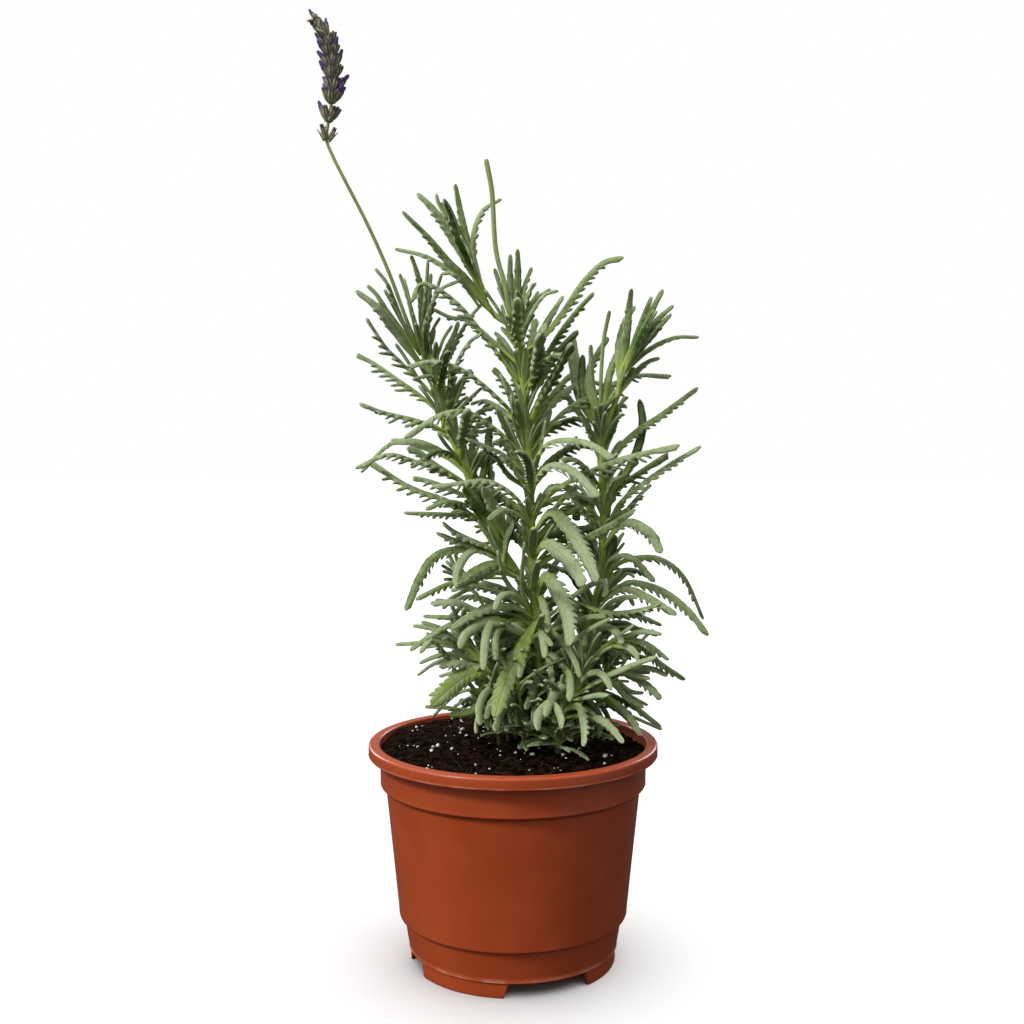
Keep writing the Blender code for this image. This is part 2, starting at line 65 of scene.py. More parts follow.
# ------------------------------------------------------------------------------------- curves and shells


def on_elevation(x, z, depth):
    """The place in space of the point drawn at (x, z) on the front elevation, at this depth."""
    spread = (EYE_DISTANCE + depth) / EYE_DISTANCE
    return np.array((x * spread, depth, EYE_HEIGHT + (z - EYE_HEIGHT) * spread))


def smooth_path(knots, steps):
    """Points on a smooth curve through the knots, with so many steps between each two of them."""
    knots = [np.array(knot, float) for knot in knots]
    padded = [knots[0] * 2 - knots[1], *knots, knots[-1] * 2 - knots[-2]]
    path = []
    for a, b, c, d in zip(padded, padded[1:], padded[2:], padded[3:]):
        for t in np.arange(steps) / steps:
            bend = (2 * a - 5 * b + 4 * c - d) * t**2 + (3 * b - a - 3 * c + d) * t**3
            path.append(0.5 * (2 * b + (c - a) * t + bend))
    path.append(knots[-1])
    return np.array(path)


def lengths_along(path):
    """The distance of each point from the start, measured along the path."""
    steps = np.linalg.norm(np.diff(path, axis=0), axis=1)
    return np.concatenate(([0.0], np.cumsum(steps)))


def unit(vectors):
    """The vectors, each at length 1."""
    return vectors / np.linalg.norm(vectors, axis=-1, keepdims=True)


def at_distances(path, values, distances):
    """Rows of values, one for each point of the path, read at these distances along it."""
    lengths = lengths_along(path)
    return np.stack([np.interp(distances, lengths, column) for column in values.T], axis=1)


def carried_normals(tangents, start, normal):
    """A normal at each point, carried from the start index both ways along the path without twist."""
    normals = np.zeros_like(tangents)
    normals[start] = normal
    for order in (range(start + 1, len(tangents)), range(start - 1, -1, -1)):
        previous = start
        for i in order:
            carried = normals[previous] - tangents[i] * (normals[previous] @ tangents[i])
            normals[i] = carried / np.linalg.norm(carried)
            previous = i
    return normals


def shell(rings, rows=None, **attributes):
    """A closed grid of rings of points, with a middle point at each end.

    Rows say how far along its UV cell each ring lies. Attributes have a value for each point.
    """
    count, around = rings.shape[:2]
    rows = np.linspace(0, 1, count) if rows is None else rows
    points = np.concatenate((rings.reshape(-1, 3), rings[:1].mean(1), rings[-1:].mean(1)))
    values = {}
    for name, grid in attributes.items():
        grid = np.broadcast_to(grid, (count, around))
        values[name] = np.concatenate((grid.ravel(), (grid[0].mean(), grid[-1].mean())))
    i, j = np.meshgrid(np.arange(count - 1), np.arange(around), indexing="ij")
    i, j, k = i.ravel(), j.ravel(), (j.ravel() + 1) % around
    quads = np.stack((i * around + j, i * around + k, (i + 1) * around + k, (i + 1) * around + j), 1)
    edge = CELL_MARGIN
    low, high = (edge + (1 - 2 * edge) * rows[row] for row in (i, i + 1))
    left, right = j / around, (j + 1) / around
    quad_uv = np.stack((left, low, right, low, right, high, left, high), 1).reshape(-1, 4, 2)
    j = np.arange(around)
    k = (j + 1) % around
    first, last = count * around, count * around + 1
    row = (count - 1) * around
    foot = np.stack((k, j, np.full(around, first)), 1)
    tip = np.stack((row + j, row + k, np.full(around, last)), 1)
    left, right, middle = j / around, (j + 1) / around, (j + 0.5) / around
    zero, one = np.zeros(around), np.ones(around)
    foot_uv = np.stack((right, zero + edge, left, zero + edge, middle, zero), 1).reshape(-1, 3, 2)
    tip_uv = np.stack((left, one - edge, right, one - edge, middle, one), 1).reshape(-1, 3, 2)
    made = {"points": points, "quads": quads, "quad_uv": quad_uv, "values": values}
    made["tris"] = np.concatenate((foot, tip))
    made["tri_uv"] = np.concatenate((foot_uv, tip_uv))
    corners = points[quads]
    across = np.cross(corners[:, 1] - corners[:, 0], corners[:, 2] - corners[:, 0])
    volume = np.einsum("ij,ij->", corners[:, 0], across)
    if volume < 0:  # the faces look inward
        for key in ("quads", "quad_uv", "tris", "tri_uv"):
            made[key] = made[key][:, ::-1]
    return made


def as_piece(name, shells, finish, replaced=()):
    """One mesh of all the shells, each with its own cell of the UV map, which rides with the part."""
    across = math.ceil(math.sqrt(len(shells)))
    down = math.ceil(len(shells) / across)
    points, quads, tris, quad_uv, tri_uv = [], [], [], [], []
    start = 0
    for index, made in enumerate(shells):
        cell = np.array((index % across, index // across))
        grid = np.array((across, down))
        points.append(made["points"])
        quads.append(made["quads"] + start)
        tris.append(made["tris"] + start)
        quad_uv.append((cell + CELL_MARGIN + (1 - 2 * CELL_MARGIN) * made["quad_uv"]) / grid)
        tri_uv.append((cell + CELL_MARGIN + (1 - 2 * CELL_MARGIN) * made["tri_uv"]) / grid)
        start += len(made["points"])
    points, quads, tris = np.concatenate(points), np.concatenate(quads), np.concatenate(tris)
    corners = np.concatenate((quads.ravel(), tris.ravel()))
    sizes = np.concatenate((np.full(len(quads), 4), np.full(len(tris), 3)))
    mesh = bpy.data.meshes.new(name)
    mesh.vertices.add(len(points))
    mesh.vertices.foreach_set("co", (points * MM).ravel())
    mesh.loops.add(len(corners))
    mesh.loops.foreach_set("vertex_index", corners)
    mesh.polygons.add(len(sizes))
    mesh.polygons.foreach_set("loop_start", np.concatenate(([0], np.cumsum(sizes)[:-1])))
    mesh.update(calc_edges=True)
    uv = mesh.uv_layers.new(name="OFBake")
    flat = np.concatenate((np.concatenate(quad_uv).ravel(), np.concatenate(tri_uv).ravel()))
    uv.uv.foreach_set("vector", flat.astype(np.float32))
    for key in shells[0]["values"]:
        layer = mesh.attributes.new(key, "FLOAT", "POINT")
        column = np.concatenate([made["values"][key] for made in shells])
        layer.data.foreach_set("value", column.astype(np.float32))
    mesh.shade_smooth()
    mesh.materials.append(finish)
    piece = bpy.data.objects.new(name, mesh)
    bpy.context.scene.collection.objects.link(piece)
    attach(piece, "root")
    if replaced:
        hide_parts(*replaced)
    return piece


# ------------------------------------------------------------------------------------------ leaf geometry

# What each kind of leaf is like:
#   wide         how much wider the leaf is than the width it is given below
#   start, end   where along the leaf its teeth begin and stop, as shares of its length
#   pitch        distance between two teeth
#   lobe         how much of that distance the tooth takes up
#   blunt        how rounded the tooth's end is; the smaller, the squarer
#   body         half-width between the teeth, as a share of the full half-width
#   tip          half-width just before the rounded tip, as a share of the half-width between the teeth
#   spoon        how much wider the leaf is between its last tooth and its tip
#   slant        how far forward a tooth points, for each millimetre that it reaches out
#   necked       how much narrower a tooth is at its foot, and wider at its end, than a plain one
#   fold         how far the blade bends down to its margins, in degrees
#   knee         how far out it has done so, as a share of the full half-width; it is flat from there on
#   thickness    of the blade down its middle
#   quilt        how far the blade swells between its side veins
#   far          how far the teeth on the side towards the back reach out, as a share of the others
KINDS = {
    "comb": dict(
        wide=1.55, start=0.2, end=0.82, pitch=4.6, lobe=0.46, blunt=0.25, body=0.4, tip=0.86, slant=0.9,
        necked=0.3, fold=62, knee=0.5, thickness=1.75, quilt=0.0, spoon=0.35, far=0.5),
    "thumb": dict(
        wide=1.2, start=0.16, end=0.82, pitch=4.2, lobe=0.72, blunt=0.45, body=0.42, tip=1.1, slant=0.2,
        necked=0.1, fold=46, knee=0.5, thickness=2.8, quilt=0.0, spoon=0.3, far=0.8),
    "toothed": dict(
        wide=1.25, start=0.24, end=0.84, pitch=3.7, lobe=0.66, blunt=0.4, body=0.62, tip=0.72, slant=0.6,
        necked=0.0, fold=48, knee=0.8, thickness=1.4, quilt=0.08, spoon=0.1, far=0.8),
    "broad": dict(
        wide=1.08, start=0.18, end=0.87, pitch=3.5, lobe=0.86, blunt=0.5, body=0.72, tip=0.62, slant=0.5,
        necked=0.0, fold=34, knee=1.0, thickness=1.3, quilt=0.28, spoon=0.0, far=1.0),
    "plain": dict(
        wide=1.38, start=0.35, end=0.8, pitch=4.4, lobe=0.45, blunt=0.5, body=0.88, tip=0.54, slant=0.4,
        necked=0.0, fold=40, knee=1.0, thickness=1.4, quilt=0.05, spoon=0.0, far=1.0),
    "finger": dict(
        wide=1.0, start=0.5, end=0.5, pitch=9.0, lobe=0.5, blunt=0.5, body=1.0, tip=0.66, slant=0.0,
        necked=0.0, fold=55, knee=1.0, thickness=1.5, quilt=0.0, spoon=0.15, far=1.0),
}
# Colour of a leaf: how thick its pale felt is, and how yellow its green is. The dark tone, with almost no
# felt, also serves as painted shade on leaves deep in the bush
TONES = {
    "dark": (0.06, 0.0), "green": (0.3, 0.15), "sage": (0.62, 0.0), "pale": (0.92, 0.0),
    "fresh": (0.4, 1.0), "young": (0.36, 0.6), "soft": (0.5, 1.0),
}

# Places along a tooth, on a leaf that stands alone and on one in a group
FINE_TURNS = (0.0, 0.05, 0.2, 0.5, 0.8, 0.95, 1.0)
PLAIN_TURNS = (0.0, 0.07, 0.33, 0.67, 0.93, 1.0)
# How far a tooth reaches out, as a share of the usual reach; a few stay short
TOOTH_REACHES = (1.15, 1.0, 1.0, 0.9, 0.8, 0.7, 0.55, 0.3)

# A leaf with so narrow a body is thinner between its teeth, and one with a body under the second value has
# teeth that curl down
THIN_BETWEEN_TEETH = 0.4
CURL_BELOW = 0.7

# Places round a leaf's section, from one margin over the top to the other and back below
FINE_TOP = (-1.0, -0.88, -0.64, -0.34, -0.13, 0.0, 0.13, 0.34, 0.64, 0.88, 1.0)
FINE_BELOW = (0.9, 0.6, 0.22, 0.0, -0.22, -0.6, -0.9)
PLAIN_TOP = (-1.0, -0.78, -0.34, -0.09, 0.09, 0.34, 0.78, 1.0)
PLAIN_BELOW = (0.8, 0.28, -0.28, -0.8)


def eased(low, high, x):
    """0 below low, 1 above high, and smooth between."""
    t = np.clip((x - low) / (high - low), 0, 1)
    return t * t * (3 - 2 * t)


def leaf_stations(length, kind, tip_half, draw, turns):
    """The places along a leaf where it has a section.

    Each row is (distance from its foot, tooth on one side, tooth on the other, swelling, narrowing at the
    tip, distance from the middle of the tooth).
    """
    start, end = kind["start"] * length, kind["end"] * length
    last = max(length - tip_half, end + 0.3)
    rows = [(distance, 0.0, 0.0, 0.0, 1.0, 0.0) for distance in np.linspace(0, start, 6)]
    count = round((end - start) / kind["pitch"])
    if count:
        rows.pop()
        edges = np.linspace(start, end, count + 1)
        edges[1:-1] += np.array([draw.uniform(-0.12, 0.12) for _ in edges[1:-1]]) * (edges[1] - edges[0])
        for near, far in zip(edges, edges[1:]):
            left, right = draw.choice(TOOTH_REACHES), draw.choice(TOOTH_REACHES)
            for turn in turns:
                swell = max(0.0, 1 - (2 * turn - 1) ** 2) ** kind["blunt"]
                # the end of a slanting tooth stays square to it
                tooth = swell * (1 + kind["slant"] * (0.16 - 0.32 * turn))
                tooth_width = (far - near) * kind["lobe"]
                from_middle = (turn - 0.5) * tooth_width
                distance = near + tooth_width * turn
                rows.append((distance, tooth * left, tooth * right, swell, 1.0, from_middle))
    rows += [(distance, 0.0, 0.0, 0.0, 1.0, 0.0) for distance in np.linspace(end, last, 5)]
    for turn in (20, 38, 55, 70, 82):
        turn = math.radians(turn)
        rows.append((last + (length - last) * math.sin(turn), 0.0, 0.0, 0.0, math.cos(turn), 0.0))
    rows = np.array(rows)
    keep = np.concatenate(([True], np.diff(rows[:, 0]) > 1e-4))
    return rows[keep]


def leaf_frames(path, lean, twist):
    """Tangent, up and side of the blade at each point.

    Where the leaf lies level, up leans to the front by so many degrees. The blade twists along its way.
    """
    tangents = unit(np.gradient(path, axis=0))
    level = int(np.argmin(np.abs(tangents[:, 2])))
    tangent = tangents[level]
    up = unit(UP - tangent * tangent[2])
    front = np.cross(tangent, up)
    if front[1] > 0:
        front = -front
    angle = math.radians(lean)
    up = carried_normals(tangents, level, up * math.cos(angle) + front * math.sin(angle))
    side = np.cross(tangents, up)
    turn = np.radians(twist) * np.linspace(-0.4, 1, len(path))[:, None]
    return tangents, up * np.cos(turn) + side * np.sin(turn), side * np.cos(turn) - up * np.sin(turn)


def leaf_shell(kind_name, tone, width, lean, foot_depth, tip_depth, drawn, seed, fine=True):
    """One leaf along the points (x, z) of the elevation, between its two depths."""
    draw = random.Random(seed)
    flat = smooth_path(drawn, 14)
    share = lengths_along(flat)
    share = share / share[-1]
    depth = foot_depth + (tip_depth - foot_depth) * share
    path = np.array([on_elevation(x, z, y) for (x, z), y in zip(flat, depth)])
    wave = np.sin(share * draw.uniform(7, 11) + draw.uniform(0, math.tau))
    path[:, 1] += 0.6 * eased(0.1, 0.5, share) * wave
    return blade(path, KINDS[kind_name], tone, width, lean, draw, fine)


def blade(path, kind, tone, width, lean, draw, fine):
    """The closed shell of one leaf along a path in space."""
    tangents, up, side = leaf_frames(path, lean, draw.uniform(-12, 12))
    length = lengths_along(path)[-1]
    full = kind["wide"] * width / 2
    body = max(kind["body"] * full, 0.8)
    turns = FINE_TURNS if fine else PLAIN_TURNS
    rows = leaf_stations(length, kind, 2.5 * body * kind["tip"], draw, turns)
    distance, left, right, swell, narrow, from_middle = rows.T
    place = at_distances(path, path, distance)
    tangents = unit(at_distances(path, tangents, distance))
    up = unit(at_distances(path, up, distance))
    side = unit(at_distances(path, side, distance))
    share = distance / length

    # Half-width of the body, and of the leaf with its teeth on each side
    grown = 0.46 + 0.54 * eased(0.0, 0.45, share)
    swells = 1 + 0.06 * np.sin(distance * draw.uniform(0.5, 0.9) + draw.uniform(0, 6))
    spoon = np.sin(math.pi * np.clip((share - kind["end"]) / (1 - kind["end"]), 0, 1))
    half_body = body * grown * swells * (1 - (1 - kind["tip"]) * eased(0.5, 1.0, share)) * narrow
    half_body = half_body * (1 + kind["spoon"] * spoon)
    toothed = kind["start"] + (kind["end"] - kind["start"]) * np.array((0.0, 0.3, 0.62, 1.0))
    reach_out = np.interp(share, toothed, (0.55, 1.0, 0.96, 0.42 + 0.5 * kind["body"]))
    extra = np.maximum(full * reach_out - half_body, 0.0)
    right_is_far = side[len(side) // 2, 1] > 0
    half_left = np.maximum(half_body + extra * left * (1.0 if right_is_far else kind["far"]), 0.1)
    half_right = np.maximum(half_body + extra * right * (kind["far"] if right_is_far else 1.0), 0.1)

    # Each section: how far out each of its points is, and how far the fold takes it down
    top, below = (FINE_TOP, FINE_BELOW) if fine else (PLAIN_TOP, PLAIN_BELOW)
    v = np.array(top + below)
    away = np.abs(v)[None, :]
    is_top = np.arange(len(v)) < len(top)
    half = np.where(v[None, :] < 0, half_left[:, None], half_right[:, None])
    reach = half * v[None, :]
    fold, knee = math.radians(kind["fold"]), kind["knee"] * full
    bend = fold / knee
    turn = np.clip(reach, -knee, knee) * bend
    beyond = np.maximum(np.abs(reach) - knee, 0.0)
    out = np.sin(turn) / bend + np.sign(reach) * beyond * math.cos(fold)
    drop = -(1 - np.cos(turn)) / bend - beyond * math.sin(fold)

    # Thickness, with a groove down the top, a ridge down the underside and the swelling between the veins
    thick = kind["thickness"] * (0.7 + 0.3 * grown) * (0.35 + 0.65 * narrow**0.5)
    thick = thick[:, None] * (1 - 0.3 * eased(0.3, 0.9, np.abs(reach) / full))
    if kind["body"] <= THIN_BETWEEN_TEETH:
        thick = thick * (1 - 0.35 * eased(0.4, 0.8, away) * (1 - swell[:, None]))
    rounded = np.sqrt(np.clip(1 - away**5, 0, 1))
    groove = 0.14 * np.exp(-((reach / 0.28) ** 2)) * narrow[:, None]
    ridge = 0.25 * np.exp(-((reach / 0.45) ** 2)) * narrow[:, None]
    quilt = kind["quilt"] * swell[:, None] * 4 * away * (1 - away)
    above, under = thick * (0.5 * rounded - groove) + quilt, -thick * (0.45 * rounded + ridge)
    lift = np.where(is_top[None, :], above, under)

    # Teeth curl down and point forward, and are narrower at their feet
    curl = swell[:, None] * draw.uniform(0.1, 0.5) * away**2 * (kind["body"] < CURL_BELOW)
    steady = (eased(0.0, 0.15, share) * (1 - eased(0.93, 1.0, share)))[:, None]
    slant = (kind["slant"] * np.abs(reach) + 0.05 * reach**2) * steady
    neck = np.exp(-(((np.abs(reach) - half_body[:, None] - 0.3) / 0.7) ** 2))
    spread = eased(0.45, 0.9, np.abs(reach) / full)
    slant = slant + from_middle[:, None] * kind["necked"] * (spread - neck)
    local = up[:, None] * np.cos(turn)[..., None] + side[:, None] * np.sin(turn)[..., None]
    rings = place[:, None] + side[:, None] * out[..., None] + up[:, None] * (drop - curl)[..., None]
    rings = rings + local * lift[..., None] + tangents[:, None] * slant[..., None]
    return shell(
        rings,
        rows=share,
        leaf_along=share[:, None],
        leaf_reach=np.abs(reach) / 10,
        leaf_edge=half * (1 - away) / 10,
        leaf_under=np.where(is_top, 0.0, 1.0)[None, :],
        leaf_tone=TONES[tone][0] + draw.uniform(-0.08, 0.08),
        leaf_fresh=max(0.0, TONES[tone][1] + draw.uniform(-0.1, 0.15)),
    )
# -------------------------------------------------------------------------------------- leaves, as places

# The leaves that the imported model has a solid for: (kind, tone, width with its teeth, lean of its face
# towards the front in degrees, depth at its foot, depth at its tip, points (x, z) from foot to tip)
LEAVES = {
    "leaf_top_left_1": ("plain", "green", 6.2, 46, 2, -10, [
        (-8, 311), (-20, 327), (-30, 337), (-40, 348.5), (-52.5, 360.5)]),
    "leaf_top_left_2": ("plain", "sage", 4.6, 16, 3, 16, [
        (-7, 310), (-15, 318), (-25, 329), (-40, 339), (-56, 343)]),
    "leaf_left_upper_1": ("plain", "pale", 6.0, 50, 9, -8, [
        (-41, 284), (-50, 297), (-60, 310.5), (-66, 317), (-75, 323.5)]),
    "leaf_left_upper_2": ("comb", "sage", 7.4, 12, 9, 24, [
        (-33, 264), (-45, 274), (-55, 281), (-65, 288), (-74.5, 293.5)]),
    "leaf_left_upper_3": ("comb", "sage", 7.6, 15, 9, -6, [
        (-30, 256), (-45, 261.5), (-55, 264), (-63, 266), (-73.5, 270)]),
    "leaf_left_middle_1": ("plain", "sage", 4.4, 15, 7, 16, [
        (-20, 234), (-30, 243), (-40, 248), (-50, 251.5), (-60, 250), (-73, 237)]),
    "leaf_left_middle_2": ("comb", "sage", 7.0, 12, 6, -12, [
        (-17, 227), (-35, 239), (-46, 242), (-60, 245.5), (-75.5, 239)]),
    "leaf_left_middle_3": ("comb", "sage", 7.4, 20, 4, 26, [
        (-12, 215), (-25, 218.5), (-35, 224.5), (-45, 228), (-55, 233), (-69, 242.5)]),
    "leaf_left_middle_4": ("toothed", "sage", 6.0, 15, 4, -20, [
        (-10, 212), (-22, 216), (-35, 217), (-52.5, 217.5)]),
    "leaf_left_drooping": ("toothed", "green", 8.0, 30, 2, -16, [
        (-2, 195), (-14, 199.5), (-28, 200), (-38, 196.5), (-45, 187), (-52, 170)]),
    "leaf_left_dark": ("plain", "green", 6.4, 40, 1, -34, [
        (2, 189), (-6, 193), (-15, 190.5), (-27, 183)]),
    "leaf_centre_upper_left": ("comb", "sage", 7.2, 14, 0, -12, [
        (4, 279), (-5, 291), (-15, 304), (-25, 316), (-36, 324.5), (-44, 326.5), (-48.5, 318)]),
    "leaf_centre_left_1": ("comb", "sage", 7.2, 14, 0, -20, [
        (6, 259), (-5, 270.5), (-15, 279.5), (-25, 286.5), (-38, 290), (-50.5, 287.5)]),
    "leaf_centre_left_2": ("comb", "sage", 7.4, 14, 0, -28, [
        (7.5, 241), (0, 250), (-10, 259), (-22, 266), (-35, 264.5), (-52, 253.5)]),
    "leaf_centre_arching": ("plain", "sage", 5.0, 25, 0, -24, [
        (12, 165), (3, 171.5), (-8, 172.5), (-20, 168), (-30, 161)]),
    "leaf_low_left_broad": ("broad", "fresh", 10.5, 62, -5, -26, [
        (-8, 141), (-18, 140), (-28, 134.5), (-40, 123.5)]),
    "leaf_low_left_long": ("plain", "sage", 4.0, 20, -5, 14, [
        (-14, 146), (-25, 148.5), (-37, 145), (-46.5, 138.5)]),
    "leaf_front_broad": ("broad", "soft", 11.0, 8, 0, -34, [
        (12, 167), (6, 156), (1, 146), (-4, 134), (-9, 118)]),
    "leaf_centre_top": ("toothed", "green", 7.6, 32, 0, -10, [
        (3, 294), (13, 300), (24, 314), (32, 326), (42, 336), (52.5, 339)]),
    "leaf_centre_right_1": ("toothed", "sage", 5.6, 14, 0, 24, [
        (6.5, 252), (13, 262), (22, 273.5), (32, 279.5), (42, 279.5), (53, 273.5)]),
    "leaf_centre_right_2": ("comb", "sage", 8.0, 14, 0, 16, [
        (7, 245), (15, 256), (25, 266.5), (40, 275.5), (58, 283), (75.5, 283)]),
    "leaf_centre_right_3": ("comb", "pale", 8.0, 20, 0, -32, [
        (7.5, 235), (14, 248.5), (23, 252.5), (36, 251), (48.5, 243.5)]),
    "leaf_centre_right_4": ("comb", "sage", 8.2, 22, 0, -12, [
        (8.5, 216), (21, 229), (34, 236), (52, 243.5), (80, 250)]),
    "leaf_centre_right_5": ("comb", "green", 8.4, 20, 0, 26, [
        (9, 203), (24, 216), (40, 225.5), (56, 234), (74.5, 246)]),
    "leaf_centre_drooping_1": ("toothed", "pale", 8.0, 56, 0, -36, [
        (9, 206), (17, 217.5), (25, 212), (33, 200), (40.5, 184)]),
    "leaf_centre_drooping_2": ("toothed", "pale", 9.0, 62, 0, -42, [
        (9.5, 193), (14, 202), (21, 199.5), (28, 192.5), (34, 182)]),
    "leaf_centre_drooping_3": ("toothed", "pale", 9.6, 68, 0, -40, [
        (10.5, 174), (14, 185.5), (20, 181), (25.5, 169), (27.5, 153)]),
    "leaf_top_right_arching": ("plain", "green", 4.0, 15, -2, 14, [
        (51, 282), (63, 294.5), (76, 301), (88.5, 301.5)]),
    "leaf_right_upper": ("toothed", "green", 6.6, 24, 2, 12, [
        (43, 229), (50, 247), (60, 257.5), (70, 264), (88.5, 277.5)]),
    "leaf_right_middle": ("toothed", "sage", 6.6, 22, 3, -10, [
        (43.5, 208), (51, 222), (62, 231.5), (75, 240.5), (90, 249.5)]),
    "leaf_right_curled": ("toothed", "sage", 7.4, 40, 4, -24, [
        (43, 200), (50, 210), (57, 213), (66, 207.5), (71.5, 198)]),
    "leaf_right_long_1": ("toothed", "sage", 7.4, 18, 5, 20, [
        (41.5, 183), (50, 192.5), (60, 196), (72, 195), (83, 186), (92, 166)]),
    "leaf_right_long_2": ("toothed", "sage", 7.8, 22, 6, -6, [
        (40, 173), (50, 181), (58, 184), (72, 180), (84, 171), (94.5, 158)]),
    "leaf_low_right_long": ("toothed", "green", 8.0, 16, -22, -8, [
        (48, 156), (57, 155), (65, 150.5), (73, 143.5), (83.5, 136.5)]),
    "leaf_front_right_long": ("finger", "pale", 4.2, 30, -16, -44, [
        (28, 127), (38, 134), (48, 139.5), (58, 144), (70, 147.5)]),
    "leaf_front_drooping": ("toothed", "pale", 5.6, 70, -15, -46, [
        (24, 121), (31.5, 123), (34, 114), (34.5, 103.5)]),
    "leaf_low_right_drooping": ("plain", "green", 4.6, 30, -2, 14, [
        (43, 139), (52, 131), (62, 121), (72, 113)]),
    "leaf_back_low": ("toothed", "sage", 7.0, -20, 0, 72, [
        (12.5, 148), (4, 161), (-8, 166), (-16, 160)]),
    "leaf_back_middle": ("toothed", "sage", 7.6, -20, 4, 74, [
        (43, 203), (38, 215), (32, 220), (30, 214)]),
    "leaf_back_upper": ("comb", "sage", 7.4, -20, 7, 66, [
        (-21, 234), (-14, 247), (-8, 252), (-4, 250)]),
    "leaf_front_middle": ("comb", "sage", 7.0, 10, 0, -72, [
        (9, 225), (8, 240), (5, 246), (2, 247)]),
}

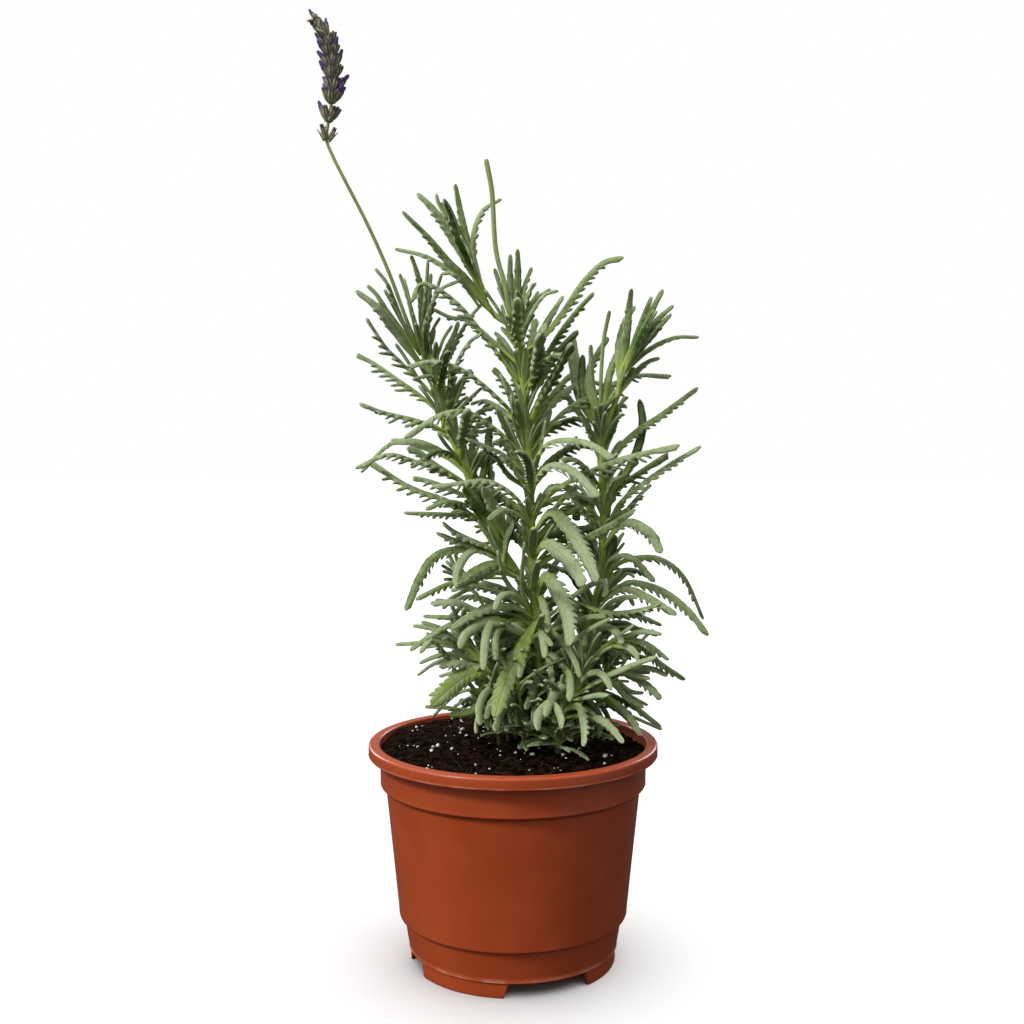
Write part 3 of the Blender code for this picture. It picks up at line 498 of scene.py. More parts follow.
# The other leaves, in the pieces that they are grouped into, written the same way
MORE_LEAVES = {
    "leaves_end_on": [
        ("thumb", "pale", 9.6, 25, -2, -34, [
            (9.5, 276), (10.5, 284), (11.8, 293), (12.6, 300), (12.6, 303)]),
        ("thumb", "dark", 8.6, 20, -2, -28, [
            (8.5, 262), (14, 273), (20, 284), (25.5, 294), (28, 298.5)]),
        ("thumb", "green", 7.4, 20, -2, -26, [
            (3.8, 288), (3.2, 300), (2.4, 312), (2.2, 318), (2.1, 320)]),
        ("thumb", "sage", 8.0, 20, -4, -34, [(-25, 246), (-24, 256), (-22.5, 264), (-22, 267)]),
    ],
    "leaves_top_left": [
        ("plain", "sage", 6.0, 36, 3, 12, [
            (-15, 324), (-22, 338), (-30, 352), (-38, 362), (-45.5, 369)]),
        ("plain", "dark", 7.2, 66, 2, -8, [
            (-13, 320), (-19, 335), (-25.5, 350), (-29.5, 360), (-33, 366.5)]),
        ("plain", "sage", 3.8, 30, 4, 4, [
            (-16, 327), (-24, 343), (-31, 357), (-35, 364), (-36.5, 369)]),
        ("plain", "green", 3.6, 36, 3, 10, [(-14, 322), (-18.5, 338), (-23, 352), (-27.5, 373.5)]),
        ("toothed", "sage", 5.0, 30, 2, 9, [
            (-14, 324), (-18.5, 337), (-18.8, 350), (-14.5, 361), (-5.5, 366.5)]),
        ("plain", "sage", 4.2, 50, 2, -10, [(-13, 320), (-17, 332), (-21, 342), (-25, 349.5)]),
        ("plain", "green", 4.2, 44, 2, -4, [(-12, 318), (-19, 331), (-24, 340), (-28, 352)]),
        ("finger", "green", 2.6, 30, 1, -3, [(-3, 308), (-8, 316), (-13.5, 324)]),
        ("toothed", "sage", 4.0, 26, 2, -8, [(-16, 316), (-27, 330.5), (-34, 331.5)]),
    ],
    "leaves_left_upper": [
        ("plain", "green", 3.2, 30, 8, 2, [
            (-48, 300), (-53, 310), (-57, 320), (-60, 327), (-65.5, 334)]),
        ("plain", "green", 3.4, 30, 9, 12, [
            (-44, 293), (-51, 302), (-60, 314), (-65, 321.5), (-69.5, 326)]),
        ("finger", "pale", 2.4, 30, 7, -4, [(-46, 297), (-54, 311), (-61, 324)]),
        ("finger", "pale", 2.4, 30, 7, -8, [(-45, 295), (-52, 307), (-58, 318)]),
        ("plain", "sage", 3.2, 35, 8, -2, [
            (-44.5, 293), (-45.8, 305), (-48.2, 314), (-50, 322), (-52, 329.5)]),
        ("plain", "sage", 3.0, 35, 8, 8, [(-44.5, 293), (-47, 308), (-50, 320), (-54, 331.5)]),
        ("plain", "dark", 3.0, 35, 9, 15, [
            (-43, 292), (-43.5, 315), (-44, 325), (-46, 333), (-48.5, 340)]),
        ("plain", "sage", 4.4, 50, 9, 4, [
            (-42.5, 292), (-43, 310), (-42, 320), (-41, 330), (-40.5, 338)]),
        ("plain", "sage", 3.4, 50, 9, 10, [(-42.5, 292), (-41.5, 310), (-40.2, 322), (-39, 331.5)]),
        ("toothed", "sage", 4.0, 25, 9, -6, [
            (-42.5, 288), (-43, 303), (-41, 312), (-38, 319), (-34, 324.5), (-26, 328)]),
        ("toothed", "sage", 3.2, 25, 9, 0, [
            (-42, 296), (-40, 310), (-38, 318), (-36, 325), (-34, 331.5)]),
        ("plain", "green", 3.6, 40, 9, 2, [(-39, 281), (-37, 290), (-33.5, 300), (-29, 307)]),
        ("toothed", "sage", 3.8, 30, 9, 16, [
            (-38, 279), (-34.5, 289), (-31, 297), (-28, 303), (-26, 309)]),
        ("plain", "green", 3.8, 55, 9, 5, [(-38, 279), (-38.5, 290), (-40, 301), (-41, 309)]),
        ("comb", "sage", 6.6, 12, 9, 2, [
            (-37, 272), (-43, 279), (-50, 286), (-55, 291), (-61, 297), (-69.8, 310.5)]),
        ("finger", "sage", 3.0, 25, 9, 0, [(-41, 276), (-46, 283), (-50.5, 290.5), (-56, 298.5)]),
        ("finger", "sage", 3.2, 25, 9, 2, [(-35, 262), (-38, 269), (-42, 275), (-45, 278.5)]),
        ("finger", "sage", 2.6, 25, 9, -2, [(-33.5, 260), (-36, 269), (-39, 277)]),
        ("toothed", "sage", 3.6, 10, 9, -12, [(-36, 272), (-38, 282), (-42, 283), (-48, 281.3)]),
        ("comb", "green", 7.0, 75, 9, -4, [(-34, 258), (-32, 270), (-30.5, 280), (-30, 289)]),
        ("comb", "sage", 6.4, 20, 9, -8, [
            (-35, 266), (-30, 280), (-26, 291), (-21, 299), (-15, 303.5)]),
        ("toothed", "sage", 4.0, 20, 9, 14, [(-36, 276), (-29, 296), (-21, 310), (-14, 318)]),
        ("toothed", "sage", 4.2, 20, 8, -6, [(-33, 260), (-27, 266), (-21, 272), (-15, 277.5)]),
        ("comb", "dark", 6.4, 10, 9, -26, [(-36, 272), (-34, 284), (-32, 293), (-31, 295)]),
        ("plain", "green", 4.2, 40, 9, 20, [(-35, 268), (-39, 284), (-40, 296)]),
        ("comb", "sage", 6.4, 25, 9, 30, [(-33, 262), (-28, 272), (-24, 281), (-20, 286)]),
    ],
    "leaves_left_middle": [
        ("toothed", "sage", 8.0, 42, 6, -2, [
            (-20, 230), (-30, 236), (-38, 241), (-45, 246.5), (-51, 248.5)]),
        ("comb", "pale", 6.6, 22, 0, -30, [
            (9, 210), (3.5, 222.5), (-6, 230.5), (-15, 233), (-27, 231.5), (-39, 230)]),
        ("toothed", "sage", 5.0, 20, 4, -12, [
            (-8, 204), (-15, 202.5), (-20, 203.5), (-25, 206), (-33.5, 212)]),
        ("toothed", "green", 5.2, 20, 3, 14, [
            (-6, 200), (-14, 200), (-20, 201), (-28, 203.5), (-37, 208)]),
        ("plain", "sage", 3.2, 15, 7, 22, [(-21, 236), (-32, 246), (-45, 252), (-58.5, 252.5)]),
        ("comb", "dark", 6.4, 40, 6, 34, [(-18, 226), (-21, 236), (-22.5, 247)]),
        ("comb", "dark", 5.6, 40, 5, 38, [(-13, 216), (-11, 230), (-11, 247)]),
        ("plain", "dark", 4.6, 55, 8, -10, [(-25, 243), (-23, 253), (-20, 262)]),
        ("toothed", "sage", 5.2, 20, 8, 24, [(-28, 250), (-36, 258), (-44, 261), (-52, 259)]),
        ("finger", "green", 3.2, 20, 8, -4, [(-25, 243), (-31, 249), (-36, 256)]),
        ("comb", "dark", 6.0, 20, 8, -22, [(-24, 240), (-30, 246), (-37, 247), (-43, 243)]),
        ("comb", "sage", 6.6, 20, 6, 20, [(-16, 222), (-28, 228), (-38, 232), (-48, 234.5)]),
        ("toothed", "green", 5.0, 25, 5, -20, [(-13, 214), (-22, 221), (-32, 223), (-42, 219)]),
        ("plain", "dark", 4.0, 40, 6, 14, [(-18, 226), (-14, 238), (-12, 252), (-11, 264)]),
        ("comb", "sage", 6.0, 25, 9, 34, [(-29, 252), (-22, 260), (-16, 266), (-10, 268)]),
        ("plain", "dark", 9.0, 62, -1, -6, [
            (-6, 206), (-10, 214), (-15, 221), (-21, 228.5), (-24, 231)]),
        ("plain", "sage", 7.6, 60, -2, -8, [(-3, 204), (-6.7, 216), (-10, 223), (-15, 230)]),
        ("plain", "sage", 5.4, 50, -5, -9, [(-5, 192), (-4.5, 200), (-3, 207), (2.4, 217.4)]),
        ("toothed", "sage", 6.2, 15, -2, -8, [
            (-2, 190), (-10.6, 197.3), (-20, 202), (-28, 204.5), (-35, 207.5)]),
        ("toothed", "sage", 6.6, 18, -3, -10, [
            (-3, 196), (-13, 201.6), (-22, 205.5), (-29, 209), (-34, 213)]),
        ("finger", "young", 4.4, 50, -2, -6, [(-1, 188), (-6, 197), (-11, 206), (-17, 214)]),
        ("finger", "green", 4.2, 50, -3, -8, [(1, 187), (-3, 196), (-8, 204), (-12, 211)]),
        ("comb", "green", 6.2, 20, -2, -6, [
            (-3, 201), (-9, 207.4), (-17, 214), (-24.5, 219.8), (-35, 225)]),
    ],
    "leaves_centre_left": [
        ("toothed", "sage", 4.6, 20, 0, 10, [
            (3, 288), (-10, 300), (-22, 309.5), (-30, 311), (-38.5, 315)]),
        ("toothed", "sage", 6.0, 24, 0, -22, [
            (8, 224), (3, 234), (-3, 244.5), (-12, 249), (-23, 253.5)]),
        ("toothed", "sage", 4.8, 25, 0, -10, [
            (7, 234), (1.5, 245), (-4, 253.5), (-9, 257.5), (-17, 256)]),
        ("plain", "green", 3.8, 30, 0, 6, [(4, 276), (-1, 287), (-4.5, 295), (-7.5, 301.5)]),
        ("plain", "green", 3.6, 30, 0, -6, [(6, 257), (1, 267), (-3, 276), (-6, 284)]),
        ("plain", "green", 3.2, 30, 0, 6, [(6, 257), (1.5, 267), (-1, 274), (-3.5, 280.5)]),
        ("plain", "green", 3.8, 30, 0, 4, [(7, 240), (1, 251), (-4, 260), (-8, 267)]),
        ("finger", "green", 3.0, 30, 0, -8, [(7, 240), (2, 251), (-1, 258), (-4, 264)]),
        ("finger", "sage", 2.8, 30, 0, -6, [(0, 300), (-3, 308), (-5.5, 317)]),
        ("finger", "sage", 2.8, 30, 0, 4, [(-1, 308), (-4, 320), (-9, 334)]),
        ("comb", "sage", 6.4, 15, 0, 30, [(7.5, 236), (-4, 243), (-16, 244), (-24, 238)]),
        ("plain", "dark", 4.2, 40, 0, -16, [(8, 228), (-2, 236), (-8, 244), (-14, 247)]),
        ("comb", "sage", 6.0, 20, 0, 34, [(5, 258), (-4, 266), (-13, 271), (-20, 270)]),
        ("plain", "green", 4.4, 45, 0, -10, [(6, 246), (2, 256), (0, 266), (-1, 274)]),
        ("comb", "green", 6.2, 25, 0, 22, [(8.5, 214), (0, 222), (-9, 226), (-18, 224)]),
        ("toothed", "sage", 5.0, 25, 0, -30, [(9, 210), (3, 216), (-5, 219), (-12, 214)]),
        ("plain", "green", 4.0, 30, 0, -18, [(9, 200), (3, 211), (-2, 217), (-8, 221)]),
        ("toothed", "dark", 6.0, 20, 0, 40, [(9, 196), (0, 207), (-10, 211), (-18, 208)]),
    ],
    "leaves_centre_top": [
        ("plain", "green", 3.4, 40, 0, 6, [(1.5, 304), (-1, 318), (-1.5, 330), (-1.2, 340.5)]),
        ("plain", "green", 3.6, 40, 0, 1, [(2, 304), (2, 318), (2.4, 332), (2, 343)]),
        ("toothed", "sage", 3.4, 30, 0, 5, [(2.5, 304), (3.6, 316), (5.6, 326), (9, 334.5)]),
        ("toothed", "sage", 3.8, 30, 0, -5, [(3, 302), (5, 312), (7, 320), (9.5, 327)]),
        ("finger", "dark", 4.4, 40, 0, -16, [(2.5, 298), (3.4, 309), (3.2, 318), (1.5, 323.5)]),
        ("plain", "sage", 4.0, 25, 0, -10, [
            (3, 296), (5.5, 306), (9.5, 314.5), (15, 321.5), (21.5, 323.5)]),
        ("plain", "sage", 4.0, 25, 0, 4, [(4, 288), (11, 299), (16.5, 309.5), (24, 321)]),
        ("toothed", "dark", 6.2, 25, 0, 8, [
            (5, 276), (14, 290), (22, 303), (30, 313.5), (38.5, 322.5)]),
        ("toothed", "dark", 6.2, 25, 0, 14, [(6, 268), (13, 281), (20, 293), (31, 304.5)]),
        ("comb", "sage", 8.4, 62, 0, -34, [
            (6, 270), (9.5, 287), (11.5, 300), (13.5, 305), (14.5, 303)]),
        ("plain", "green", 3.6, 40, 0, 8, [(4, 290), (2, 302), (4, 314)]),
        ("comb", "sage", 6.6, 25, 0, -22, [(5, 276), (12, 287), (20, 293), (27, 291)]),
        ("comb", "sage", 6.4, 25, 0, 34, [(4, 282), (8, 296), (10, 306), (11, 310)]),
        ("toothed", "sage", 5.0, 25, 0, 36, [(3, 292), (0, 304), (-4, 311), (-8, 312)]),
        ("plain", "sage", 3.0, 35, 0, 14, [(2, 300), (7, 313), (12, 323)]),
        ("comb", "green", 5.4, 30, 0, -20, [(3.5, 290), (1, 302), (-1, 309), (-3, 312)]),
    ],
    "leaves_centre_right": [
        ("comb", "pale", 8.0, 34, 0, -34, [
            (8.5, 222), (11, 233), (15, 239), (22, 240.5), (31, 236), (41, 225)]),
        ("comb", "dark", 7.4, 20, 0, 34, [(6.5, 248), (15, 256), (26, 262), (36, 262), (44, 256)]),
        ("comb", "dark", 7.2, 20, 0, 24, [(8, 232), (18, 243), (28, 249), (38, 250)]),
        ("plain", "green", 4.0, 35, 0, 6, [(7, 240), (11, 250), (15, 259), (18, 268)]),
        ("plain", "green", 3.8, 35, 0, -6, [(8, 232), (12, 243), (14, 254), (15.5, 262)]),
        ("toothed", "green", 4.8, 30, 0, 14, [(6, 258), (12, 270), (17, 280), (24, 288)]),
        ("plain", "sage", 4.4, 30, 0, -12, [(5.5, 262), (9, 272), (12.5, 281), (17.5, 287)]),
        ("comb", "sage", 6.8, 25, 0, 12, [(8.5, 218), (19, 224), (30, 226), (40, 222)]),
        ("comb", "green", 7.0, 25, 0, -8, [(9, 206), (18, 217), (25, 226), (31, 231)]),
        ("toothed", "dark", 5.4, 25, 0, 26, [(9, 200), (20, 207), (31, 210), (42, 211)]),
        ("plain", "green", 4.2, 30, 0, -24, [(9, 214), (13, 223), (18, 229), (25, 230)]),
        ("toothed", "green", 7.0, 22, 0, 4, [(9.5, 192), (22, 199), (33, 205), (42, 207)]),
        ("toothed", "sage", 5.4, 30, 0, 12, [(9, 204), (17, 211), (24, 219), (30, 221)]),
        ("plain", "dark", 4.2, 40, 0, 6, [(10, 196), (14, 206), (20, 213), (26, 214)]),
        ("finger", "pale", 4.6, 10, 0, -48, [(9, 196), (9.5, 206), (10, 210), (10, 209.5)]),
        ("finger", "pale", 4.4, 10, 0, -46, [(9.5, 180), (11, 190), (12, 194), (12, 193.5)]),
        ("finger", "pale", 3.8, 10, 0, -40, [(11, 160), (13.5, 166), (14, 168), (14, 167.5)]),
    ],
    "leaves_right_upper": [
        ("toothed", "sage", 5.4, 30, 2, 12, [
            (41.5, 262), (36, 276), (36.5, 286), (40.5, 294), (45.3, 301.5)]),
        ("finger", "dark", 5.0, 50, 2, 14, [(41.5, 256), (35, 268), (33, 281), (33.2, 293)]),
        ("comb", "pale", 6.0, 20, 2, 26, [(42, 246), (38, 255), (34, 262), (28, 271), (18, 283.5)]),
        ("plain", "pale", 4.4, 55, 2, 22, [(41.5, 258), (34, 272), (30.5, 288), (28.5, 302.5)]),
        ("plain", "pale", 3.6, 55, 2, 28, [(41.5, 256), (32, 272), (28.5, 286), (26, 300)]),
        ("finger", "sage", 3.0, 40, 2, 4, [(41.5, 264), (38, 280), (37, 298)]),
        ("plain", "green", 3.8, 35, 1, 4, [(42, 262), (45, 280), (47.5, 289), (51.5, 298)]),
        ("plain", "green", 3.4, 35, -2, 4, [(49, 272), (57, 283.5), (64, 289.5), (70, 291.5)]),
        ("finger", "dark", 5.0, 45, 2, 14, [(44, 226), (53, 235), (59, 247), (62, 260), (60.5, 272)]),
        ("finger", "dark", 4.0, 45, 2, -4, [(42, 246), (40.5, 260), (44, 269), (50, 274)]),
        ("comb", "green", 7.6, 24, 3, -12, [(43.5, 200), (51, 214), (58, 223), (66, 231.5)]),
        ("toothed", "green", 7.2, 40, 0, -28, [
            (10, 190), (20, 197), (32, 204), (45, 211), (58.5, 218.5)]),
        ("plain", "green", 4.0, 40, 2, 0, [(42.5, 240), (39, 250), (36, 258), (32, 264)]),
        ("comb", "green", 6.4, 25, 2, -16, [(43, 228), (36, 238), (30, 243), (23, 243)]),
        ("plain", "green", 3.8, 40, 2, 8, [(42.5, 240), (45, 252), (48, 260), (50, 270)]),
        ("comb", "sage", 6.8, 20, 3, 22, [(43.5, 212), (35, 222), (28, 229), (20, 231)]),
        ("comb", "sage", 6.6, 20, 2, 30, [(42, 250), (47, 262), (50, 268), (54, 269)]),
        ("toothed", "green", 5.4, 25, 3, 16, [(43.5, 214), (48, 226), (53, 236), (60, 243)]),
        ("plain", "green", 4.4, 40, 3, -20, [(43.3, 216), (45, 226), (48, 233), (52, 235)]),
        ("toothed", "green", 5.2, 30, 3, -8, [(43, 204), (38, 213), (33, 220), (28, 224)]),
    ],
    "leaves_top_right": [
        ("plain", "green", 3.8, 45, -2, 2, [(51, 280), (53.5, 295), (55, 311), (56.3, 324.5)]),
        ("plain", "dark", 4.6, 55, -2, -8, [(52, 282), (57, 298), (62, 311), (66, 320.5)]),
        ("plain", "green", 3.6, 40, -2, 8, [(52, 284), (60, 302), (66, 314), (71.3, 324)]),
        ("plain", "green", 3.8, 40, -2, -2, [(53, 286), (62, 301), (69, 310), (76.5, 316.5)]),
        ("plain", "green", 3.4, 35, -2, 9, [(53, 286), (63, 299), (70, 307), (75.5, 312.5)]),
        ("plain", "dark", 5.6, 55, -2, -14, [(52, 282), (57, 295), (62, 306), (67, 314.5)]),
        ("plain", "pale", 3.8, 50, -2, -10, [(53, 284), (59, 297), (64, 307), (68.5, 314)]),
        ("plain", "green", 3.4, 40, -2, 4, [(52, 283), (59, 294), (64, 301), (69, 306.5)]),
        ("plain", "sage", 3.6, 40, -2, 12, [(51, 278), (50, 294), (53, 308), (58, 316)]),
        ("finger", "green", 3.0, 35, -2, -5, [(50, 276), (54, 287), (60, 296)]),
        ("finger", "green", 3.0, 35, -2, 3, [(49, 271), (53, 280), (58, 287)]),
    ],
    "leaves_low_left": [
        ("toothed", "green", 5.0, 16, 0, -16, [
            (-4, 186), (-20, 186), (-28, 184), (-34, 182), (-47, 175.5)]),
        ("plain", "green", 6.2, 40, 0, -30, [
            (6, 184), (-5, 190), (-12, 189.5), (-20, 186), (-27, 182)]),
        ("finger", "pale", 5.0, 25, 2, -22, [
            (-8, 195), (-18, 200), (-24, 196), (-27.5, 188), (-27, 181)]),
        ("finger", "sage", 3.4, 30, 2, -10, [(-10, 196), (-20, 200.5), (-25, 195.5), (-29.5, 189.5)]),
        ("finger", "sage", 2.6, 30, 4, -2, [(-20, 184), (-29, 189), (-34.5, 192.5)]),
        ("finger", "sage", 2.6, 30, 4, 4, [(-20, 184), (-28, 190), (-32.5, 194.5)]),
        ("finger", "sage", 2.6, 30, 4, 8, [(-20, 184), (-27, 190), (-31, 197.5)]),
        ("finger", "green", 2.6, 30, 4, 12, [(-19, 184), (-25, 190), (-28, 197.5)]),
        ("finger", "sage", 2.6, 30, 4, -8, [(-20, 184), (-28, 187.5), (-34, 189.5)]),
        ("finger", "sage", 2.6, 30, 4, -4, [(-19, 182), (-28, 185), (-33.5, 185.5)]),
        ("finger", "sage", 3.0, 30, -2, 6, [(-14, 172), (-20, 180.5), (-27, 178), (-32, 175)]),
        ("toothed", "pale", 8.0, 30, -4, -18, [(-10, 167), (-20, 171.5), (-28, 174.5), (-40, 173.5)]),
        ("toothed", "sage", 4.4, 25, -3, 6, [(-10, 168), (-19, 171), (-25, 171.5), (-31, 167.5)]),
        ("plain", "green", 3.2, 25, -5, 10, [(-12, 160), (-22, 166), (-32, 167), (-43.5, 167.3)]),
        ("plain", "sage", 3.2, 25, -7, 4, [(-26, 154), (-34, 159.5), (-41, 162), (-48.5, 162.7)]),
        ("plain", "sage", 3.0, 25, -7, -14, [(-26, 154), (-34, 161), (-40, 163.5), (-44.5, 164.5)]),
        ("toothed", "sage", 4.4, 30, -4, -22, [
            (-8, 166), (-20, 166), (-30, 163.5), (-40, 158), (-50, 150.5)]),
        ("plain", "sage", 3.2, 20, -6, 0, [(-22, 152), (-36, 155), (-46, 154.5), (-57, 153.5)]),
        ("toothed", "pale", 4.4, 30, -6, -24, [(-22, 152), (-32, 158), (-39, 157.5), (-45, 149.5)]),
        ("plain", "sage", 3.0, 20, -4, 8, [(-14, 147), (-24, 151.5), (-34, 153.3), (-43, 152.3)]),
        ("finger", "pale", 5.6, 40, -3, -30, [
            (2, 166), (-8, 166.5), (-16, 164), (-23, 158.5), (-26, 151.5)]),
        ("plain", "dark", 3.4, 30, -5, 12, [(-14, 146), (-24, 153), (-34, 160.5)]),
        ("plain", "sage", 3.2, 25, -4, -12, [(-14, 146), (-22, 148.5), (-34, 149), (-45.5, 144.3)]),
        ("toothed", "pale", 6.6, 30, -4, -16, [(-10, 142), (-20, 143.5), (-28, 145), (-36, 142.5)]),
        ("toothed", "sage", 4.0, 30, -5, 18, [(-12, 144), (-20, 152), (-25, 158), (-30, 161.5)]),
        ("finger", "green", 3.0, 30, -5, 2, [(-14, 145), (-19, 151), (-22, 158)]),
        ("finger", "sage", 3.2, 30, -5, -8, [(-14, 145), (-24, 149), (-30, 155), (-34, 156)]),
        ("toothed", "sage", 6.4, 25, 0, 22, [(6, 150), (-8, 158), (-24, 160), (-40, 156)]),
        ("toothed", "sage", 5.0, 25, 0, 26, [(8, 160), (-6, 172), (-20, 177), (-34, 174)]),
        ("toothed", "green", 6.0, 20, 0, 18, [(9, 170), (-6, 180), (-18, 183), (-30, 180)]),
    ],
    "leaves_lowest_left": [
        ("toothed", "green", 5.6, 50, -4, -20, [
            (-6, 143), (-9.5, 137), (-14, 128), (-20, 121), (-31, 119)]),
        ("plain", "green", 3.2, 25, -2, -14, [
            (0, 132), (-14, 122), (-24, 121.5), (-33, 122.8), (-43, 123)]),
        ("plain", "sage", 2.0, 25, -2, 10, [
            (0, 131), (-14, 131.5), (-24, 131), (-31, 126.5), (-39.5, 118)]),
        ("finger", "pale", 4.8, 60, -4, -30, [(-4, 134), (-12, 131), (-16, 123), (-16, 113.8)]),
        ("finger", "pale", 3.0, 60, -3, -30, [(-8, 128), (-15, 121), (-17.6, 115), (-18, 110)]),
        ("finger", "dark", 3.2, 60, -2, -20, [(0, 126), (-9, 122), (-12.5, 117), (-12, 111.5)]),
        ("toothed", "dark", 4.6, 30, -3, 14, [(-4, 134), (-14, 131), (-22, 127), (-29, 123)]),
        ("plain", "sage", 3.6, 30, -3, 22, [(-6, 137), (-18, 137), (-30, 133), (-41, 128.5)]),
        ("toothed", "sage", 5.6, 30, -2, 26, [(4, 130), (-10, 138), (-24, 141), (-36, 138)]),
        ("plain", "green", 3.4, 30, -2, 20, [(4, 124), (-10, 128), (-22, 124), (-30, 117)]),
        ("finger", "sage", 4.0, 40, -2, -26, [(2, 130), (-6, 130), (-11, 124), (-13, 117)]),
        ("finger", "dark", 3.6, 40, -2, 6, [(4, 124), (-4, 124), (-9, 117), (-10, 110)]),
    ],
    "leaves_low_centre": [
        ("finger", "sage", 5.2, 50, -2, -16, [(9, 168), (5, 178), (4.8, 190), (5.5, 203.5)]),
        ("plain", "sage", 4.2, 40, 0, -18, [
            (9, 170), (4, 177), (-1, 181.5), (-5, 188.5), (-7.5, 199.5)]),
        ("plain", "dark", 3.8, 30, 2, 14, [(-3, 194), (-4, 201), (-1.5, 209), (3, 217)]),
        ("finger", "sage", 3.2, 30, 3, 16, [(-5, 194), (-9, 205), (-7, 218)]),
        ("plain", "green", 3.8, 30, 0, -8, [(9, 171), (4, 176), (-3, 180.5), (-15, 184.5)]),
        ("toothed", "sage", 4.4, 30, 0, -22, [(9, 171), (0, 177), (-10, 180), (-20, 182), (-28, 182)]),
        ("finger", "pale", 4.2, 30, 0, -36, [
            (9, 168), (5, 174.5), (0, 178.5), (-6, 177.5), (-9, 170.3)]),
        ("plain", "dark", 4.8, 25, 0, -12, [(12, 161), (4, 166.5), (-4, 168), (-18, 168)]),
        ("finger", "pale", 5.0, 40, 0, -34, [
            (8, 156), (-2, 162), (-10, 164.5), (-13, 158), (-14, 149), (-14.5, 141)]),
        ("finger", "sage", 4.2, 40, 0, -30, [(5, 158), (-4, 162.5), (-8, 158), (-8.2, 146)]),
        ("finger", "sage", 5.0, 40, 0, -28, [(11, 176), (12.6, 178), (15, 171), (17, 159.5)]),
        ("finger", "pale", 4.8, 40, 0, -36, [(12, 160), (12.8, 166), (14, 158), (15.5, 147)]),
        ("finger", "pale", 3.8, 30, 0, -26, [(12.5, 145), (17, 149.5), (22, 146), (27, 139.3)]),
        ("finger", "pale", 4.4, 40, -22, -38, [(24, 142.5), (27, 139.5), (27.8, 133), (27.3, 125.5)]),
        ("finger", "pale", 4.0, 30, 0, -24, [(12.5, 146), (9, 149.5), (5, 145.5), (3, 137.5)]),
        ("finger", "sage", 3.8, 30, 0, -32, [(12, 150), (10.5, 157.5), (14, 158.5), (19, 153)]),
        ("finger", "sage", 3.6, 30, 0, -34, [
            (12, 154), (18, 160), (25, 154), (30, 145.5), (32.5, 137.5)]),
        ("finger", "pale", 4.2, 30, -3, -34, [(15, 144), (26, 153), (35, 160), (46.8, 166.3)]),
        ("finger", "sage", 4.4, 30, 0, -30, [
            (11.5, 162), (22, 171.5), (33, 180.5), (42, 185), (46, 183), (43.5, 176.5)]),
        ("plain", "pale", 4.0, 30, 0, -24, [(12, 158), (26, 163.5), (36, 167), (45, 167.3)]),
        ("toothed", "dark", 4.8, 30, 0, 20, [(10, 192), (20, 202), (31, 208), (45, 211)]),
        ("finger", "dark", 4.4, 30, 0, 12, [(10, 196), (14, 205), (20, 207), (27, 204)]),
        ("toothed", "sage", 5.6, 25, 2, 22, [(3, 184), (14, 192), (24, 190), (33, 184)]),
        ("toothed", "sage", 6.4, 25, 0, 28, [(12, 150), (22, 164), (31, 172), (38, 174)]),
        ("toothed", "green", 5.0, 30, 0, -10, [(11, 172), (18, 176), (25, 175), (31, 170)]),
        ("plain", "dark", 4.4, 30, 0, 12, [(12, 155), (6, 166), (-2, 172), (-10, 174)]),
        ("toothed", "dark", 5.0, 30, 0, 10, [(12.5, 145), (3, 151), (-8, 152), (-18, 148)]),
        ("toothed", "dark", 5.0, 30, 0, 16, [(12.5, 140), (24, 148), (34, 149), (44, 145)]),
        ("plain", "dark", 4.6, 30, 0, -8, [(12, 150), (4, 156), (-3, 156), (-10, 150)]),
        ("finger", "green", 4.2, 30, 0, -14, [(12.5, 140), (18, 148), (24, 150), (29, 147)]),
    ],
    "leaves_lowest_centre": [
        ("finger", "sage", 3.2, 40, 0, -20, [(12.5, 136), (9, 136), (4.5, 133.5), (0, 130)]),
        ("toothed", "green", 5.4, 60, 0, -24, [(12, 148), (13.3, 140), (10.5, 130), (6, 122)]),
        ("finger", "green", 4.6, 60, 0, -30, [(12, 140), (12.3, 130), (11, 121), (9.5, 112)]),
        ("toothed", "sage", 4.6, 60, 0, -28, [(13, 153), (17, 146), (18.5, 137), (18.8, 125.5)]),
        ("finger", "pale", 4.8, 45, -15, -40, [
            (29, 130), (26, 134), (21, 130), (17.5, 124), (15.5, 118)]),
        ("finger", "pale", 5.4, 60, -30, -46, [(19, 127), (15, 122.5), (12.5, 117.5), (12, 111.3)]),
        ("finger", "pale", 4.8, 60, -28, -44, [(18, 127), (20.5, 123), (22.4, 118.5), (23.8, 112.5)]),
        ("toothed", "sage", 6.0, 60, 0, -34, [(8, 136), (1, 128), (-5, 121.5), (-8.7, 111)]),
        ("finger", "dark", 3.6, 60, 0, -26, [(8, 134), (1, 126), (-1.5, 120), (-1, 115)]),
        ("plain", "dark", 4.2, 40, 0, 6, [(12.5, 130), (18, 136), (25, 138), (32, 139)]),
        ("finger", "dark", 4.0, 50, 0, -16, [(12.5, 132), (4, 130), (2, 122), (2.4, 113)]),
        ("finger", "dark", 4.2, 50, 0, -18, [(12.5, 132), (17, 128), (20, 120), (21, 112)]),
        ("toothed", "dark", 4.6, 40, 4, 10, [(16, 126), (9, 132), (0, 134), (-8, 131)]),
        ("finger", "dark", 3.8, 50, 0, -8, [(12.5, 128), (8, 124), (5, 117), (5, 110)]),
        ("finger", "green", 3.8, 50, -8, -20, [(20, 118), (25, 120), (28, 115), (29, 109)]),
        ("toothed", "dark", 4.6, 40, -4, 6, [(22, 118), (27, 127), (30, 134), (28, 142)]),
    ],
    "leaves_low_right": [
        ("toothed", "sage", 5.4, 24, 5, -10, [
